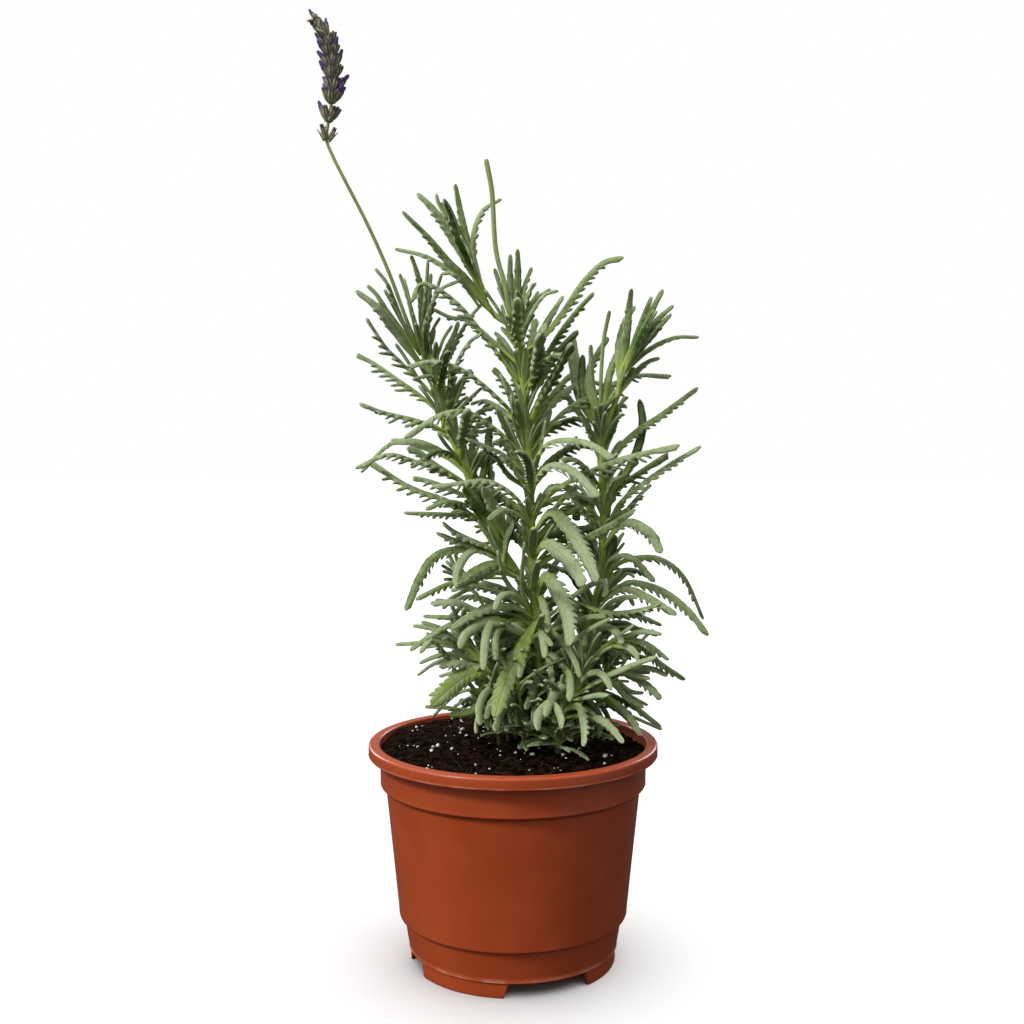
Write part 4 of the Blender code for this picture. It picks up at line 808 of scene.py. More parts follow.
            (41.5, 181), (45, 193), (51, 196.8), (58, 195.3), (68.5, 184)]),
        ("toothed", "sage", 7.6, 22, 7, -22, [
            (39, 168), (46, 176.5), (54, 181), (64, 177.5), (79, 168)]),
        ("plain", "sage", 3.8, 25, 7, -6, [(39, 166), (48, 171.5), (55, 177), (58.5, 172.3)]),
        ("toothed", "sage", 12.0, -14, -6, -24, [
            (27, 176), (38, 171.5), (48, 169.5), (60, 170.5), (71.5, 173.3)]),
        ("plain", "dark", 3.6, 40, 5, 8, [(43, 186), (47.5, 196), (49.3, 207)]),
        ("plain", "dark", 3.4, 40, 5, 12, [(42.5, 188), (44.5, 198), (48, 209)]),
        ("finger", "sage", 2.8, 30, 6, -2, [(43, 177), (47.5, 184), (52.5, 190)]),
        ("finger", "sage", 3.0, 30, 6, 2, [(43, 177), (50, 184.5), (55, 188.3), (58.8, 186.3)]),
        ("finger", "sage", 2.8, 30, 6, -6, [(42, 176), (50, 181.8), (58.8, 184.5)]),
        ("finger", "pale", 3.4, 35, -22, -30, [(49, 155.5), (54, 160), (58.8, 163.5)]),
        ("plain", "sage", 3.4, 25, -22, -26, [(49, 155.5), (57, 158.8), (64, 160), (72, 158.6)]),
        ("toothed", "sage", 6.4, 22, -22, -20, [(49, 155.5), (58, 156), (66, 153.5), (75.5, 146)]),
        ("finger", "pale", 3.6, 45, -22, -34, [(47, 153), (55, 152.5), (59.5, 149), (60.3, 145.5)]),
        ("finger", "dark", 3.0, 45, -21, -24, [(46, 152), (52, 151), (54.5, 146)]),
        ("finger", "dark", 3.0, 45, -21, -12, [(48, 154), (56, 152), (61, 146.5)]),
        ("toothed", "sage", 6.0, 25, 7, 22, [(38, 163), (48, 168), (60, 168), (72, 163)]),
        ("toothed", "green", 5.4, 25, 8, 26, [(34, 153), (46, 160), (58, 162), (70, 158)]),
        ("toothed", "dark", 5.4, 25, 6, 20, [(41, 176), (50, 188), (58, 190), (66, 186)]),
        ("plain", "dark", 4.0, 30, 8, 4, [(35, 156), (44, 163), (54, 164), (62, 160)]),
        ("finger", "pale", 4.4, 30, -4, -30, [(37, 160), (44, 163), (50, 160), (53, 154)]),
        ("plain", "sage", 4.2, 30, 7, -18, [(38, 163), (44, 172), (51, 176), (60, 177)]),
        ("toothed", "sage", 4.8, 35, 7, -20, [(36, 158), (32, 168), (28, 174), (22, 176)]),
        ("plain", "dark", 4.2, 35, 7, 18, [(39, 170), (33, 181), (28, 188), (22, 191)]),
        ("plain", "green", 4.0, 35, 6, -12, [(41.5, 184), (37, 194), (33, 198), (27, 199)]),
        ("toothed", "dark", 5.0, 35, 6, 14, [(42, 190), (38, 200), (34, 206), (29, 209)]),
    ],
    "leaves_lowest_right": [
        ("finger", "sage", 4.6, 50, -17, -26, [(31, 130), (33, 138), (33.4, 148), (32.3, 156.5)]),
        ("finger", "sage", 3.6, 40, -17, -20, [(32, 132), (35, 143), (37.5, 153), (39.5, 161.3)]),
        ("finger", "green", 3.2, 40, -17, -14, [(32, 132), (36, 144), (39, 153), (41.3, 160.5)]),
        ("finger", "pale", 4.4, 30, -17, -36, [
            (31, 130), (35, 138.5), (41, 140.5), (45.5, 136.5), (47.5, 131.3)]),
        ("finger", "pale", 5.0, 15, -15, -48, [(28, 126), (35, 128), (41, 129), (46, 128.6)]),
        ("toothed", "dark", 6.0, 35, -6, 8, [(34, 133), (44, 130.5), (52, 127), (59.5, 121.7)]),
        ("plain", "sage", 3.6, 25, -6, -14, [(50, 141), (60, 142.6), (68, 141.7), (75, 138)]),
        ("finger", "sage", 3.2, 25, -6, -8, [(50, 141), (58, 140.6), (66.5, 139.8)]),
        ("finger", "sage", 3.2, 25, -6, -18, [(50, 141), (58, 138.6), (66.3, 137)]),
        ("toothed", "sage", 5.6, 30, -6, -16, [(50, 140), (59, 137.5), (66, 133), (72, 126.7)]),
        ("finger", "sage", 3.4, 30, -5, -2, [(48, 139), (56, 131.5), (63.5, 129.7)]),
        ("finger", "sage", 3.6, 30, -5, 4, [(46, 138), (55, 130), (65.5, 123.7)]),
        ("finger", "sage", 3.4, 30, -5, -14, [(46, 138), (56, 127), (63.5, 122.7)]),
        ("plain", "green", 2.8, 25, -5, 14, [(40, 132), (50, 122.5), (60, 117.5), (72.5, 112)]),
        ("toothed", "sage", 4.6, 45, -4, -20, [(44, 130), (54, 121), (58.5, 115.5), (62, 108.6)]),
        ("finger", "dark", 4.0, 40, -4, 2, [(34, 134), (41, 127), (46, 119), (48, 113)]),
        ("finger", "dark", 4.0, 40, -4, -12, [(33, 130), (38, 125), (42, 119), (44, 112)]),
        ("toothed", "pale", 4.8, 45, -15, -42, [
            (24, 117), (31, 118.7), (39, 118), (46, 114.5), (53.8, 105)]),
        ("finger", "dark", 4.2, 40, 2, 14, [(30, 136), (42, 139), (50, 134), (55, 128)]),
        ("toothed", "dark", 6.0, 25, 4, 26, [(28, 138), (42, 146), (56, 149), (68, 146)]),
        ("toothed", "sage", 5.2, 25, 2, 24, [(30, 134), (44, 140), (58, 138), (70, 130)]),
        ("plain", "green", 4.0, 30, 4, 20, [(24, 126), (38, 128), (50, 122), (58, 114)]),
        ("finger", "dark", 3.8, 40, -6, -26, [(28, 124), (36, 122), (41, 116), (42, 109)]),
        ("toothed", "sage", 6.0, 25, 4, 16, [(30, 142), (42, 152), (56, 153), (68, 150)]),
    ],
}


# ------------------------------------------------------------------------------------------------ stems

# Each stem: (thickness at its foot, thickness at its tip, points (x, z, depth) of its centre line), close
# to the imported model's. A planted stem goes straight down into the soil from its second point.
STEMS = {
    "stem_centre": (5.2, 3.2, [
        (12, 88, 0), (12, 106, 0), (12.5, 125, 0), (12.5, 145, 0), (11.5, 165, 0), (9.8, 182, 0),
        (9, 200, 0), (8.5, 220, 0), (7.5, 240, 0), (6, 265, 0), (3.5, 290, 0), (1.5, 307, 0),
    ]),
    "stem_left": (4.0, 2.8, [
        (4.6, 183, 0), (1, 190, 1), (-3, 196, 2), (-8, 204, 3), (-13, 214, 4), (-20, 231, 6),
        (-26, 246, 8), (-33, 262, 9), (-38, 278, 9), (-43, 291.5, 9),
    ]),
    "stem_right": (4.4, 3.2, [
        (17, 88, 9), (17, 106, 9), (20, 120, 9), (26, 135, 9), (33, 150, 8), (38.5, 165, 7),
        (41.5, 180, 6), (43, 200, 4), (43.5, 212, 3), (43, 230, 2), (42, 250, 2), (41.5, 262, 2),
    ]),
    "stem_front": (3.6, 2.2, [
        (22, 88, -14), (22, 108, -14), (25, 119, -15), (29, 127, -16), (32.5, 134, -18),
        (36, 142, -20), (42, 150, -21), (50, 157, -22),
    ]),
    "shoot_top_left": (2.4, 1.6, [
        (-2.2, 307.5, 1), (-9, 312.5, 2), (-15, 322, 3), (-20, 333, 4), (-25, 345, 5),
        (-30, 355, 5), (-34, 365, 5),
    ]),
    "shoot_top_right": (2.6, 1.8, [
        (44.4, 258, 0), (47, 266, -1), (50, 274, -2), (51.5, 284, -2), (55, 293, -2),
        (58.5, 301, -2), (62, 308, -2),
    ]),
    "shoot_low_left": (3.2, 2.2, [
        (7.6, 128, -2), (0, 133, -3), (-8, 139, -4), (-16, 146, -5), (-24, 153, -6),
        (-32, 158.5, -7), (-38, 161, -8),
    ]),
    "shoot_low_right": (3.0, 2.2, [
        (29.5, 132.5, 5), (36, 136, 1), (44, 139, -3), (51, 141, -6), (57, 142, -8),
    ]),
    "flower_stalk": (1.9, 1.4, [
        (-43.8, 293.6, 9), (-50.5, 309, 7), (-59, 332, 4), (-69, 354.5, 2), (-80, 376, 0),
        (-85, 386, 0), (-88, 394, 0), (-87, 403, 0), (-85.5, 412.5, 0), (-84.8, 420, 0),
        (-85.2, 427, 0), (-86, 433, 0),
    ]),
    "young_flower_stalk": (2.2, 2.4, [
        (1.2, 309.6, 0), (-2, 316, -1), (-4, 327, -2), (-6.5, 335, -2), (-8.2, 343, -2),
        (-9, 352, -2), (-9.5, 362, -2), (-10.3, 372, -2), (-12.8, 385, -2),
    ]),
    "cut_flower_stalk": (1.7, 1.9, [
        (41.5, 263.5, 2), (41.8, 272, 2), (42, 282, 2), (42.5, 292, 2), (43.5, 302, 2),
        (46, 314, 2),
    ]),
}
PLANTED_STEMS = ("stem_centre", "stem_right", "stem_front")
# Height of the planted stems' feet, in the soil
STEM_FOOT = 88.0

# Heights of the nodes, where a stem is thicker and carries its pairs of leaves
NODES = {
    "stem_centre": (118, 131, 148, 160, 172, 193, 209, 228, 245, 256, 275, 292, 306),
    "stem_left": (200, 214, 232, 246, 261, 277, 290),
    "stem_right": (120, 136, 152, 168, 184, 203, 214, 231, 248, 259),
    "stem_front": (120, 131, 143),
    "shoot_low_left": (134, 146, 154),
    "shoot_low_right": (136, 140),
    "shoot_top_left": (311, 320),
    "shoot_top_right": (273, 283),
}
NODE_SWELLING = 0.16
NODE_LENGTH = 1.5
STEM_SIDES = 16
STEM_RING_SPACING = 0.8
# How square a stem is, and how thick its last three rings are, as shares of its thickness
STEM_SQUARENESS = 0.05
STEM_END = (0.93, 0.78, 0.45)
# Heights between which the dark brown woody foot, also painted shade near the soil, gives way to green
# skin, and how far along the cut stalk its brown end starts
BARK_AND_SHADE_FADES = (112, 150)
CUT_END = (0.93, 0.96)


def stem_path(name):
    """The centre line of a stem in space."""
    knots = [on_elevation(x, z, depth) for x, z, depth in STEMS[name][2]]
    if name in PLANTED_STEMS:
        knots[0] = np.array((knots[1][0], knots[1][1], STEM_FOOT))
    return smooth_path(knots, 8)


def tube(path, radius, sides, square=0.0, **attributes):
    """A round rod along a path, with a radius at each point. Square pushes out its four corners."""
    tangents = unit(np.gradient(path, axis=0))
    start = unit(np.cross(tangents[0], (0.3, 1.0, 0.2)))
    normals = carried_normals(tangents, 0, start)
    across = np.cross(tangents, normals)
    angle = math.tau * np.arange(sides) / sides
    size = radius[:, None] * (1 + square * np.cos(4 * angle))[None, :]
    angle = angle[None, :, None]
    rings = normals[:, None] * np.cos(angle) + across[:, None] * np.sin(angle)
    return shell(path[:, None] + rings * size[..., None], **attributes)


def stem_radius(name, path):
    """Half the thickness at each point, with a swelling at each node."""
    foot, tip, _ = STEMS[name]
    lengths = lengths_along(path)
    radius = (foot + (tip - foot) * lengths / lengths[-1]) / 2
    for height in NODES.get(name, ()):
        away = (path[:, 2] - height) / NODE_LENGTH
        radius = radius * (1 + NODE_SWELLING * np.exp(-(away**2)))
    return radius


def make_stem(name, finish):
    """One stem, slightly square in section, swollen at its nodes and rounded off where it ends.

    It is woody and dark brown near the soil, darker there still as painted shade at the foot of the bush,
    and the cut flower stalk is brown at its end.
    """
    path = stem_path(name)
    length = lengths_along(path)[-1]
    path = at_distances(path, path, np.append(np.arange(0, length, STEM_RING_SPACING), length))
    radius = stem_radius(name, path)
    radius[-len(STEM_END) :] *= STEM_END
    share = lengths_along(path) / lengths_along(path)[-1]
    old = eased(*CUT_END, share) if name == "cut_flower_stalk" else 1 - eased(*BARK_AND_SHADE_FADES, path[:, 2])
    rod = tube(path, radius, STEM_SIDES, STEM_SQUARENESS, stem_old=old[:, None])
    as_piece(name, [rod], finish, [name])


# -------------------------------------------------------------------------- leaves that grow by rule

# The youngest leaves, in the axils: how many at a node, their length and width, and how steeply they rise
AXIL_COUNT = (5, 7)
AXIL_LENGTH = (11, 25)
AXIL_WIDTH = (2.6, 3.8)
AXIL_RISE = (58, 84)
# Low shoots: how far their first two points are above the stems' feet, their radius at the foot and at the
# tip, how far along the first pair of leaves is, and how far it is from there to the next
SHOOT_START = (6.0, 15.0)
SHOOT_RADIUS = (1.3, 0.8)
FIRST_PAIR = 16.0
PAIR_SPACING = 7.5
SHOOT_LEAF_LENGTH = (20, 34)
SHOOT_LEAF_WIDTHS = {"comb": 6.4, "toothed": 5.2, "plain": 4.0, "finger": 3.4}
SIDE_LEAF_WIDTHS = {"comb": 6.2, "toothed": 4.4, "finger": 3.8}


def stem_point(name, height):
    """Centre of a stem where it is at this height."""
    path = stem_path(name)
    return path[int(np.argmin(np.abs(path[:, 2] - height)))]


def climbing_path(points, heading, angles, length):
    """The points, and one more for each angle of climb, on a way of this length in the heading.

    The heading is in degrees from +X round to +Y, the angles in radians.
    """
    flat = np.array((math.cos(math.radians(heading)), math.sin(math.radians(heading)), 0.0))
    for angle in angles:
        towards = flat * math.cos(angle) + UP * math.sin(angle)
        points = [*points, points[-1] + towards * length / len(angles)]
    return points


def young_leaf(foot, heading, rise, length, width, kind, tone, draw):
    """A leaf that leaves a stem at a point in the heading, and droops as it grows."""
    climb = math.radians(rise)
    droop = math.radians(draw.uniform(10, 55))
    steps = 6
    angles = [climb - droop * (step / steps) ** 1.5 for step in range(steps)]
    path = smooth_path(climbing_path([foot], heading, angles, length), 5)
    return blade(path, KINDS[kind], tone, width, draw.uniform(-25, 25), draw, False)


def axil_leaves(name, heights, seed):
    """Small leaves in the axils of a stem's nodes."""
    draw = random.Random(seed)
    shells = []
    for height in heights:
        foot = stem_point(name, height)
        for _ in range(draw.randint(*AXIL_COUNT)):
            heading = draw.uniform(0, 360)
            length = draw.uniform(*AXIL_LENGTH)
            width = draw.uniform(*AXIL_WIDTH)
            tone = draw.choice(("young", "young", "green", "sage", "fresh"))
            start = foot + UP * draw.uniform(-1, 2)
            rise = draw.uniform(*AXIL_RISE)
            shells.append(young_leaf(start, heading, rise, length, width, "finger", tone, draw))
    return shells


def low_shoot(x, y, heading, lean, height, seed):
    """A short young shoot that comes out of the soil at (x, y): its stem, and leaves in crossed pairs."""
    draw = random.Random(seed)
    points = [np.array((x, y, STEM_FOOT + above)) for above in SHOOT_START]
    steps = 5
    angles = [math.radians(90 - lean * (step + 1) / steps) for step in range(steps)]
    path = smooth_path(climbing_path(points, heading, angles, height), 8)
    share = np.linspace(0, 1, len(path))
    # Dark brown low down: woody, and painted darker as shade at the foot of the bush
    old = 1 - eased(0.35, 0.9, share)
    radius = SHOOT_RADIUS[0] - (SHOOT_RADIUS[0] - SHOOT_RADIUS[1]) * share
    stem = tube(path, radius, 10, STEM_SQUARENESS, stem_old=old[:, None])
    leaves = []
    whole = lengths_along(path)[-1]
    turned = draw.uniform(0, 90)
    for distance in np.arange(FIRST_PAIR, whole + 1, PAIR_SPACING):
        place = at_distances(path, path, np.array((min(distance, whole),)))[0]
        turned += 90
        for side in (0, 180):
            kind = draw.choice(("finger", "finger", "toothed", "comb", "plain"))
            width = SHOOT_LEAF_WIDTHS[kind] * draw.uniform(0.85, 1.1)
            tone = draw.choice(("dark", "green", "green", "sage"))
            length = draw.uniform(*SHOOT_LEAF_LENGTH)
            towards, rise = turned + side + draw.uniform(-20, 20), draw.uniform(35, 65)
            leaves.append(young_leaf(place, towards, rise, length, width, kind, tone, draw))
    return stem, leaves


def side_leaves(name, seed, headings, lengths, nodes):
    """Full-size leaves that leave a stem's nodes in these headings, and rise by low to high degrees."""
    draw = random.Random(seed)
    shells = []
    for height, low, high in nodes:
        foot = stem_point(name, height)
        for heading in headings:
            kind = draw.choice(("comb", "comb", "toothed", "finger"))
            width = SIDE_LEAF_WIDTHS[kind]
            tone = draw.choice(("sage", "green", "young"))
            turned = heading + draw.uniform(-14, 14)
            rise, length = draw.uniform(low, high), draw.uniform(*lengths)
            shells.append(young_leaf(foot, turned, rise, length, width, kind, tone, draw))
    return shells


# ----------------------------------------------------------------------------------------- flower spike

# The spike's axis on the elevation, at no depth
SPIKE = [
    (-88, 393), (-87, 403), (-85.6, 412.4), (-84.8, 419.3), (-85.1, 426.2), (-85.6, 431), (-86.5, 438),
    (-88.8, 443.7), (-92.4, 448.4), (-94.6, 450.8),
]
# Whorls: (height of its foot, how many calyces, their length, their radius, how far they lean out in
# degrees, angle of the first)
WHORLS = {
    "flower_whorl_low": [(394.3, 3, 6.8, 1.05, 22, 170)],
    "flower_whorl_middle": [(403.4, 6, 6.8, 1.5, 33, 5)],
    "flower_head_lower": [
        (411.6, 6, 6.8, 1.6, 34, 35),
        (417.4, 6, 6.6, 1.6, 34, 0),
        (422.9, 6, 6.5, 1.55, 34, 28),
        (428.0, 6, 6.2, 1.5, 34, 5),
    ],
    "flower_head_tip": [
        (433.2, 6, 6.0, 1.45, 34, 30),
        (438.0, 6, 5.8, 1.4, 32, 0),
        (442.4, 4, 5.6, 1.35, 24, 20),
        (446.0, 3, 5.2, 1.3, 14, 100),
        (449.4, 1, 3.6, 1.05, 4, 180),
    ],
}
# A calyx, ring by ring from its foot to its mouth and down inside to its floor: how far along, how wide
CALYX_ALONG = np.array((0, 0.06, 0.18, 0.35, 0.55, 0.75, 0.9, 1.0, 1.0, 0.93, 0.8))
CALYX_SIZE = np.array((0.35, 0.6, 0.88, 1.02, 1.05, 0.98, 0.9, 0.84, 0.68, 0.6, 0.3))
# Rings narrower than this are plain round; the others are ribbed, and toothed beyond so far along
PLAIN_SIZE = 0.62
TEETH_START = 0.85
RIBS = 6
TEETH = 5
# A bract: its width, its half-width from foot to point, and its section across and outward
BRACT_WIDTH = 4.4
BRACT_OUTLINE = np.array((0.5, 0.85, 1.0, 0.98, 0.84, 0.62, 0.4, 0.2, 0.05))
BRACT_ACROSS = np.array((-1, -0.6, -0.12, 0.12, 0.6, 1, 0.4, -0.4))
BRACT_OUT = np.array((0, 1, 1.3, 1.3, 1, 0, -0.8, -0.8))
# Buds show on the whorls above this height, in most of the calyces at the sides
LOWEST_BUDS = 400
BUD_CHANCE = 0.7


def spike_at(height):
    """Centre, direction, and two directions across the spike's axis at a height."""
    path = smooth_path([on_elevation(x, z, 0) for x, z in SPIKE], 10)
    tangents = unit(np.gradient(path, axis=0))
    index = int(np.argmin(np.abs(path[:, 2] - height)))
    along = tangents[index]
    right = unit(np.cross(along, (0, 1.0, 0)))
    return path[index], along, right, np.cross(along, right)


def calyx(foot, heading, length, radius, draw, bud):
    """One ribbed calyx: a tube, open at its mouth, with its floor inside, and perhaps a violet bud."""
    path = foot + heading * (CALYX_ALONG * length)[:, None]
    sides = RIBS * TEETH
    across = unit(np.cross(heading, (0.2, 0.9, 0.4)))
    other = np.cross(heading, across)
    angle = math.tau * np.arange(sides) / sides
    rib = np.cos(RIBS * angle)[None, :]
    ribbed = (CALYX_SIZE > PLAIN_SIZE)[:, None]
    toothed = (CALYX_ALONG > TEETH_START)[:, None] & ribbed
    teeth = 0.35 * np.cos(TEETH * angle)[None, :] * toothed
    size = radius * CALYX_SIZE[:, None] * np.where(ribbed, 1 + 0.09 * rib, 1.0)
    rings = path[:, None] + across * (np.cos(angle) * size)[..., None]
    rings = rings + other * (np.sin(angle) * size)[..., None]
    rings = rings + heading * teeth[..., None]
    along = CALYX_ALONG[:, None]
    violet = draw.uniform(0.1, 0.9)
    parts = [shell(rings, spike_along=along, spike_rib=rib, spike_bud=0.0, spike_tone=violet)]
    if bud:
        turn = np.radians(np.linspace(-60, 88, 9))
        grow = draw.uniform(0.95, 1.2) * radius
        middle = foot + heading * (length * 0.98)
        bend = unit(heading + np.array((0, 0, draw.uniform(-0.1, 0.35))))
        points = middle + bend * (np.sin(turn) * grow * 1.9)[:, None]
        size = np.cos(turn) ** 0.6 * grow * 0.62
        along = np.linspace(0, 1, len(turn))[:, None]
        violet = draw.uniform(0.4, 1.0)
        marks = {"spike_along": along, "spike_rib": 0.0, "spike_bud": 1.0, "spike_tone": violet}
        parts.append(tube(points, size, 12, 0.08, **marks))
    return parts


def bract(foot, along, out, length, draw):
    """The pointed scale under a pair of calyces."""
    share = np.linspace(0, 1, len(BRACT_OUTLINE))
    path = foot + along * (share * length * 0.84)[:, None] + out * (1.6 + share * length * 0.55)[:, None]
    side = unit(np.cross(along, out))
    half = (BRACT_WIDTH / 2 * BRACT_OUTLINE)[:, None]
    away = np.abs(BRACT_ACROSS)[None, :]
    spread = half * BRACT_ACROSS[None, :]
    wrap = -(away**2) * half * 0.55
    rings = path[:, None] + side * spread[..., None] + out * (wrap + 0.16 * BRACT_OUT[None, :])[..., None]
    tone = draw.random()
    return shell(rings, spike_along=share[:, None], spike_rib=1 - away, spike_bud=0.5, spike_tone=tone)


def make_whorl(name, finish):
    """The calyces, bracts and buds of one piece of the spike."""
    draw = random.Random(name)
    shells = []
    for height, count, length, radius, lean, first in WHORLS[name]:
        centre, along, right, back = spike_at(height)
        for index in range(count):
            angle = math.radians(first + 360 * index / count + draw.uniform(-7, 7))
            out = right * math.cos(angle) + back * math.sin(angle)
            tilt = math.radians(lean + draw.uniform(-5, 5))
            heading = along * math.cos(tilt) + out * math.sin(tilt)
            foot = centre + out * 0.9 + along * draw.uniform(-0.5, 0.5)
            own_length = length * draw.uniform(0.92, 1.06)
            at_side = abs(math.cos(angle)) > 0.7
            bud = count == 1 or (at_side and height > LOWEST_BUDS and draw.random() < BUD_CHANCE)
            shells += calyx(foot, heading, own_length, radius * draw.uniform(0.93, 1.05), draw, bud)
        bracts = max(2, count // 2)
        for index in range(bracts):
            angle = math.radians(first + 25 + 360 * index / bracts)
            out = right * math.cos(angle) + back * math.sin(angle)
            shells.append(bract(centre - along * 0.8, along, out, length * 0.9, draw))
    if name == "flower_head_tip":
        path = smooth_path([on_elevation(x, z, 0) for x, z in SPIKE[5:]], 4)
        radius = np.linspace(0.8, 0.35, len(path))
        marks = {"spike_along": 0.0, "spike_rib": 0.0, "spike_bud": 0.5, "spike_tone": 0.5}
        shells.append(tube(path, radius, 10, **marks))
    as_piece(name, shells, finish, [name])


# ------------------------------------------------------------------------------------------ pot and soil

pot_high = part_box("pot")[1]
soil_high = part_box("potting_soil")[1]

# Pot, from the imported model's outer size and the section drawn for it
RIM_RADIUS = pot_high.x / MM
RIM_TOP = pot_high.z / MM
RIM_DEPTH = 5.9
COLLAR_RADIUS = 64.3
COLLAR_BOTTOM = 87.8
BODY_TOP_RADIUS = 61.5
BODY_TOP = 84.6
BODY_BOTTOM_RADIUS = 55.5
BODY_BOTTOM = 25.1
SKIRT_TOP_RADIUS = 52.9
SKIRT_TOP = 22.1
SKIRT_BOTTOM_RADIUS = 50.7
FOOT_RADIUS = 49.9
FOOT_HEIGHT = 7.3
RIM_OPENING_RADIUS = 64.5
WALL = 1.2
BASE_UNDERSIDE = 8.3
BASE_TOP = 9.9
FOOT_WALL = 1.8
# (angle of the middle, width), in degrees
FOOT_NOTCHES = [(290, 48), (200, 24), (110, 48), (20, 24)]
DRAIN_HOLES = 5
DRAIN_HOLE_RADIUS = 4.0
DRAIN_CIRCLE_RADIUS = 36.0
DRAIN_TURN = 11.0
POT_SEGMENTS = 300
# Radius of the innermost ring of the pot's base and of the soil, round its middle point
INNER_RING = 1.0

SOIL_CROWN = soil_high.z / MM
SOIL_EDGE = 102.2
SOIL_RADIUS = 62.7
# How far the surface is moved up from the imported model's, and how much higher it lies for each millimetre
# towards the back, and half as much towards the left
SOIL_LIFT = 2.1
SOIL_TILT = 0.03
# Lumps of three sizes: how far apart they are, and how high
CLOD_SIZE, CLOD_HEIGHT = 11, 1.1
CRUMB_SIZE, CRUMB_HEIGHT = 3.2, 0.85
GRIT_SIZE, GRIT_HEIGHT = 1.1, 0.3
SOIL_RINGS = 74
SOIL_SIDES = 240
SOIL_SEED = 11
LOOSE_CRUMBS = 560
FIBRES = 310
FIBRE_POINTS = 4
GRAINS = 115
GRAIN_SEED = 5


def arc(centre_radius, centre_height, size, start, end, steps):
    """Points (radius, height) on an arc of the outline, with angles in degrees from outward."""
    angles = np.radians(np.linspace(start, end, steps + 1))
    return [(centre_radius + size * math.cos(a), centre_height + size * math.sin(a)) for a in angles]


def line(start, end, steps):
    """Points on a straight stretch of the outline, without its end."""
    start, end = np.array(start), np.array(end)
    return [tuple(start + (end - start) * step / steps) for step in range(steps)]


def pot_outline():
    """The pot's section, from the middle of its base, up the inside, over the rim and down to its foot."""
    rim_bottom = RIM_TOP - RIM_DEPTH
    inner_skirt = SKIRT_BOTTOM_RADIUS - WALL
    points = line((INNER_RING, BASE_TOP), (inner_skirt - 1.2, BASE_TOP), 6)
    points += arc(inner_skirt - 1.2, BASE_TOP + 1.4, 1.4, -90, 0, 4)
    inside = [
        (SKIRT_TOP_RADIUS - WALL, SKIRT_TOP - 0.4), (BODY_BOTTOM_RADIUS - WALL, BODY_BOTTOM + 0.6),
        (BODY_TOP_RADIUS - WALL, BODY_TOP + 0.6), (COLLAR_RADIUS - WALL, COLLAR_BOTTOM + 0.8),
        (COLLAR_RADIUS - WALL, rim_bottom - 1.5), (RIM_OPENING_RADIUS - 0.2, RIM_TOP - 4.4),
    ]
    for start, end, steps in zip(inside, inside[1:], (2, 6, 2, 4, 3)):
        points += line(start, end, steps)
    points += arc(RIM_OPENING_RADIUS + 1.3, RIM_TOP - 1.3, 1.3, 180, 90, 6)
    points += [(RIM_RADIUS - 3.0, RIM_TOP - 0.12), (RIM_RADIUS - 1.9, RIM_TOP - 0.22)]
    points += arc(RIM_RADIUS - 1.25, RIM_TOP - 1.4, 1.2, 82, 0, 7)
    points += [(RIM_RADIUS - 0.05, rim_bottom + 1.5), (RIM_RADIUS - 0.1, rim_bottom + 0.95)]
    points += [(RIM_RADIUS + 0.02, rim_bottom + 0.75), (RIM_RADIUS + 0.02, rim_bottom + 0.6)]
    points += arc(RIM_RADIUS - 0.75, rim_bottom + 0.55, 0.6, 0, -90, 4)
    points += [(RIM_RADIUS - 2.4, rim_bottom + 0.05)]
    points += arc(COLLAR_RADIUS + 0.7, rim_bottom - 0.7, 0.7, 90, 180, 4)
    points += line((COLLAR_RADIUS, rim_bottom - 1.5), (COLLAR_RADIUS, COLLAR_BOTTOM + 0.6), 5)
    points += arc(COLLAR_RADIUS - 0.8, COLLAR_BOTTOM, 0.8, 20, -70, 5)
    points += [(BODY_TOP_RADIUS + 1.1, COLLAR_BOTTOM - 1.5)]
    points += arc(BODY_TOP_RADIUS + 0.8, BODY_TOP + 0.6, 0.8, 130, 180, 3)
    points += line((BODY_TOP_RADIUS, BODY_TOP), (BODY_BOTTOM_RADIUS, BODY_BOTTOM), 14)
    points += arc(BODY_BOTTOM_RADIUS - 1.3, BODY_BOTTOM - 1.0, 1.3, 0, -75, 6)
    points += arc(SKIRT_TOP_RADIUS + 0.5, SKIRT_TOP - 0.4, 0.5, 110, 180, 3)
    points += line((SKIRT_TOP_RADIUS - 0.05, SKIRT_TOP - 1.2), (SKIRT_BOTTOM_RADIUS, FOOT_HEIGHT + 0.5), 6)
    points += [(SKIRT_BOTTOM_RADIUS, FOOT_HEIGHT + 0.45), (SKIRT_BOTTOM_RADIUS + 0.12, FOOT_HEIGHT + 0.3)]
    points += [(SKIRT_BOTTOM_RADIUS + 0.1, FOOT_HEIGHT + 0.1), (FOOT_RADIUS + 0.25, FOOT_HEIGHT - 0.05)]
    points += [(FOOT_RADIUS, FOOT_HEIGHT - 0.35)]
    points += line((FOOT_RADIUS, FOOT_HEIGHT - 0.4), (FOOT_RADIUS, 0.6), 3)
    points += arc(FOOT_RADIUS - 0.5, 0.5, 0.5, 0, -90, 3)
    points += arc(FOOT_RADIUS - FOOT_WALL + 0.4, 0.4, 0.4, -90, -180, 2)
    points += [(FOOT_RADIUS - FOOT_WALL, BASE_UNDERSIDE - 1.0)]
    points += line((FOOT_RADIUS - FOOT_WALL - 0.6, BASE_UNDERSIDE), (INNER_RING, BASE_UNDERSIDE), 6)
    return points + [(INNER_RING, BASE_UNDERSIDE)]


def foot_lift(angles):
    """How high the foot's underside is at each angle (degrees): 0 on a foot, and up in a notch."""
    lift = np.zeros_like(angles)
    for middle, width in FOOT_NOTCHES:
        away = np.abs((angles - middle + 180) % 360 - 180)
        lift = np.maximum(lift, 1 - eased(width / 2 - 1.2, width / 2 + 0.6, away))
    return lift * (FOOT_HEIGHT - 0.5)


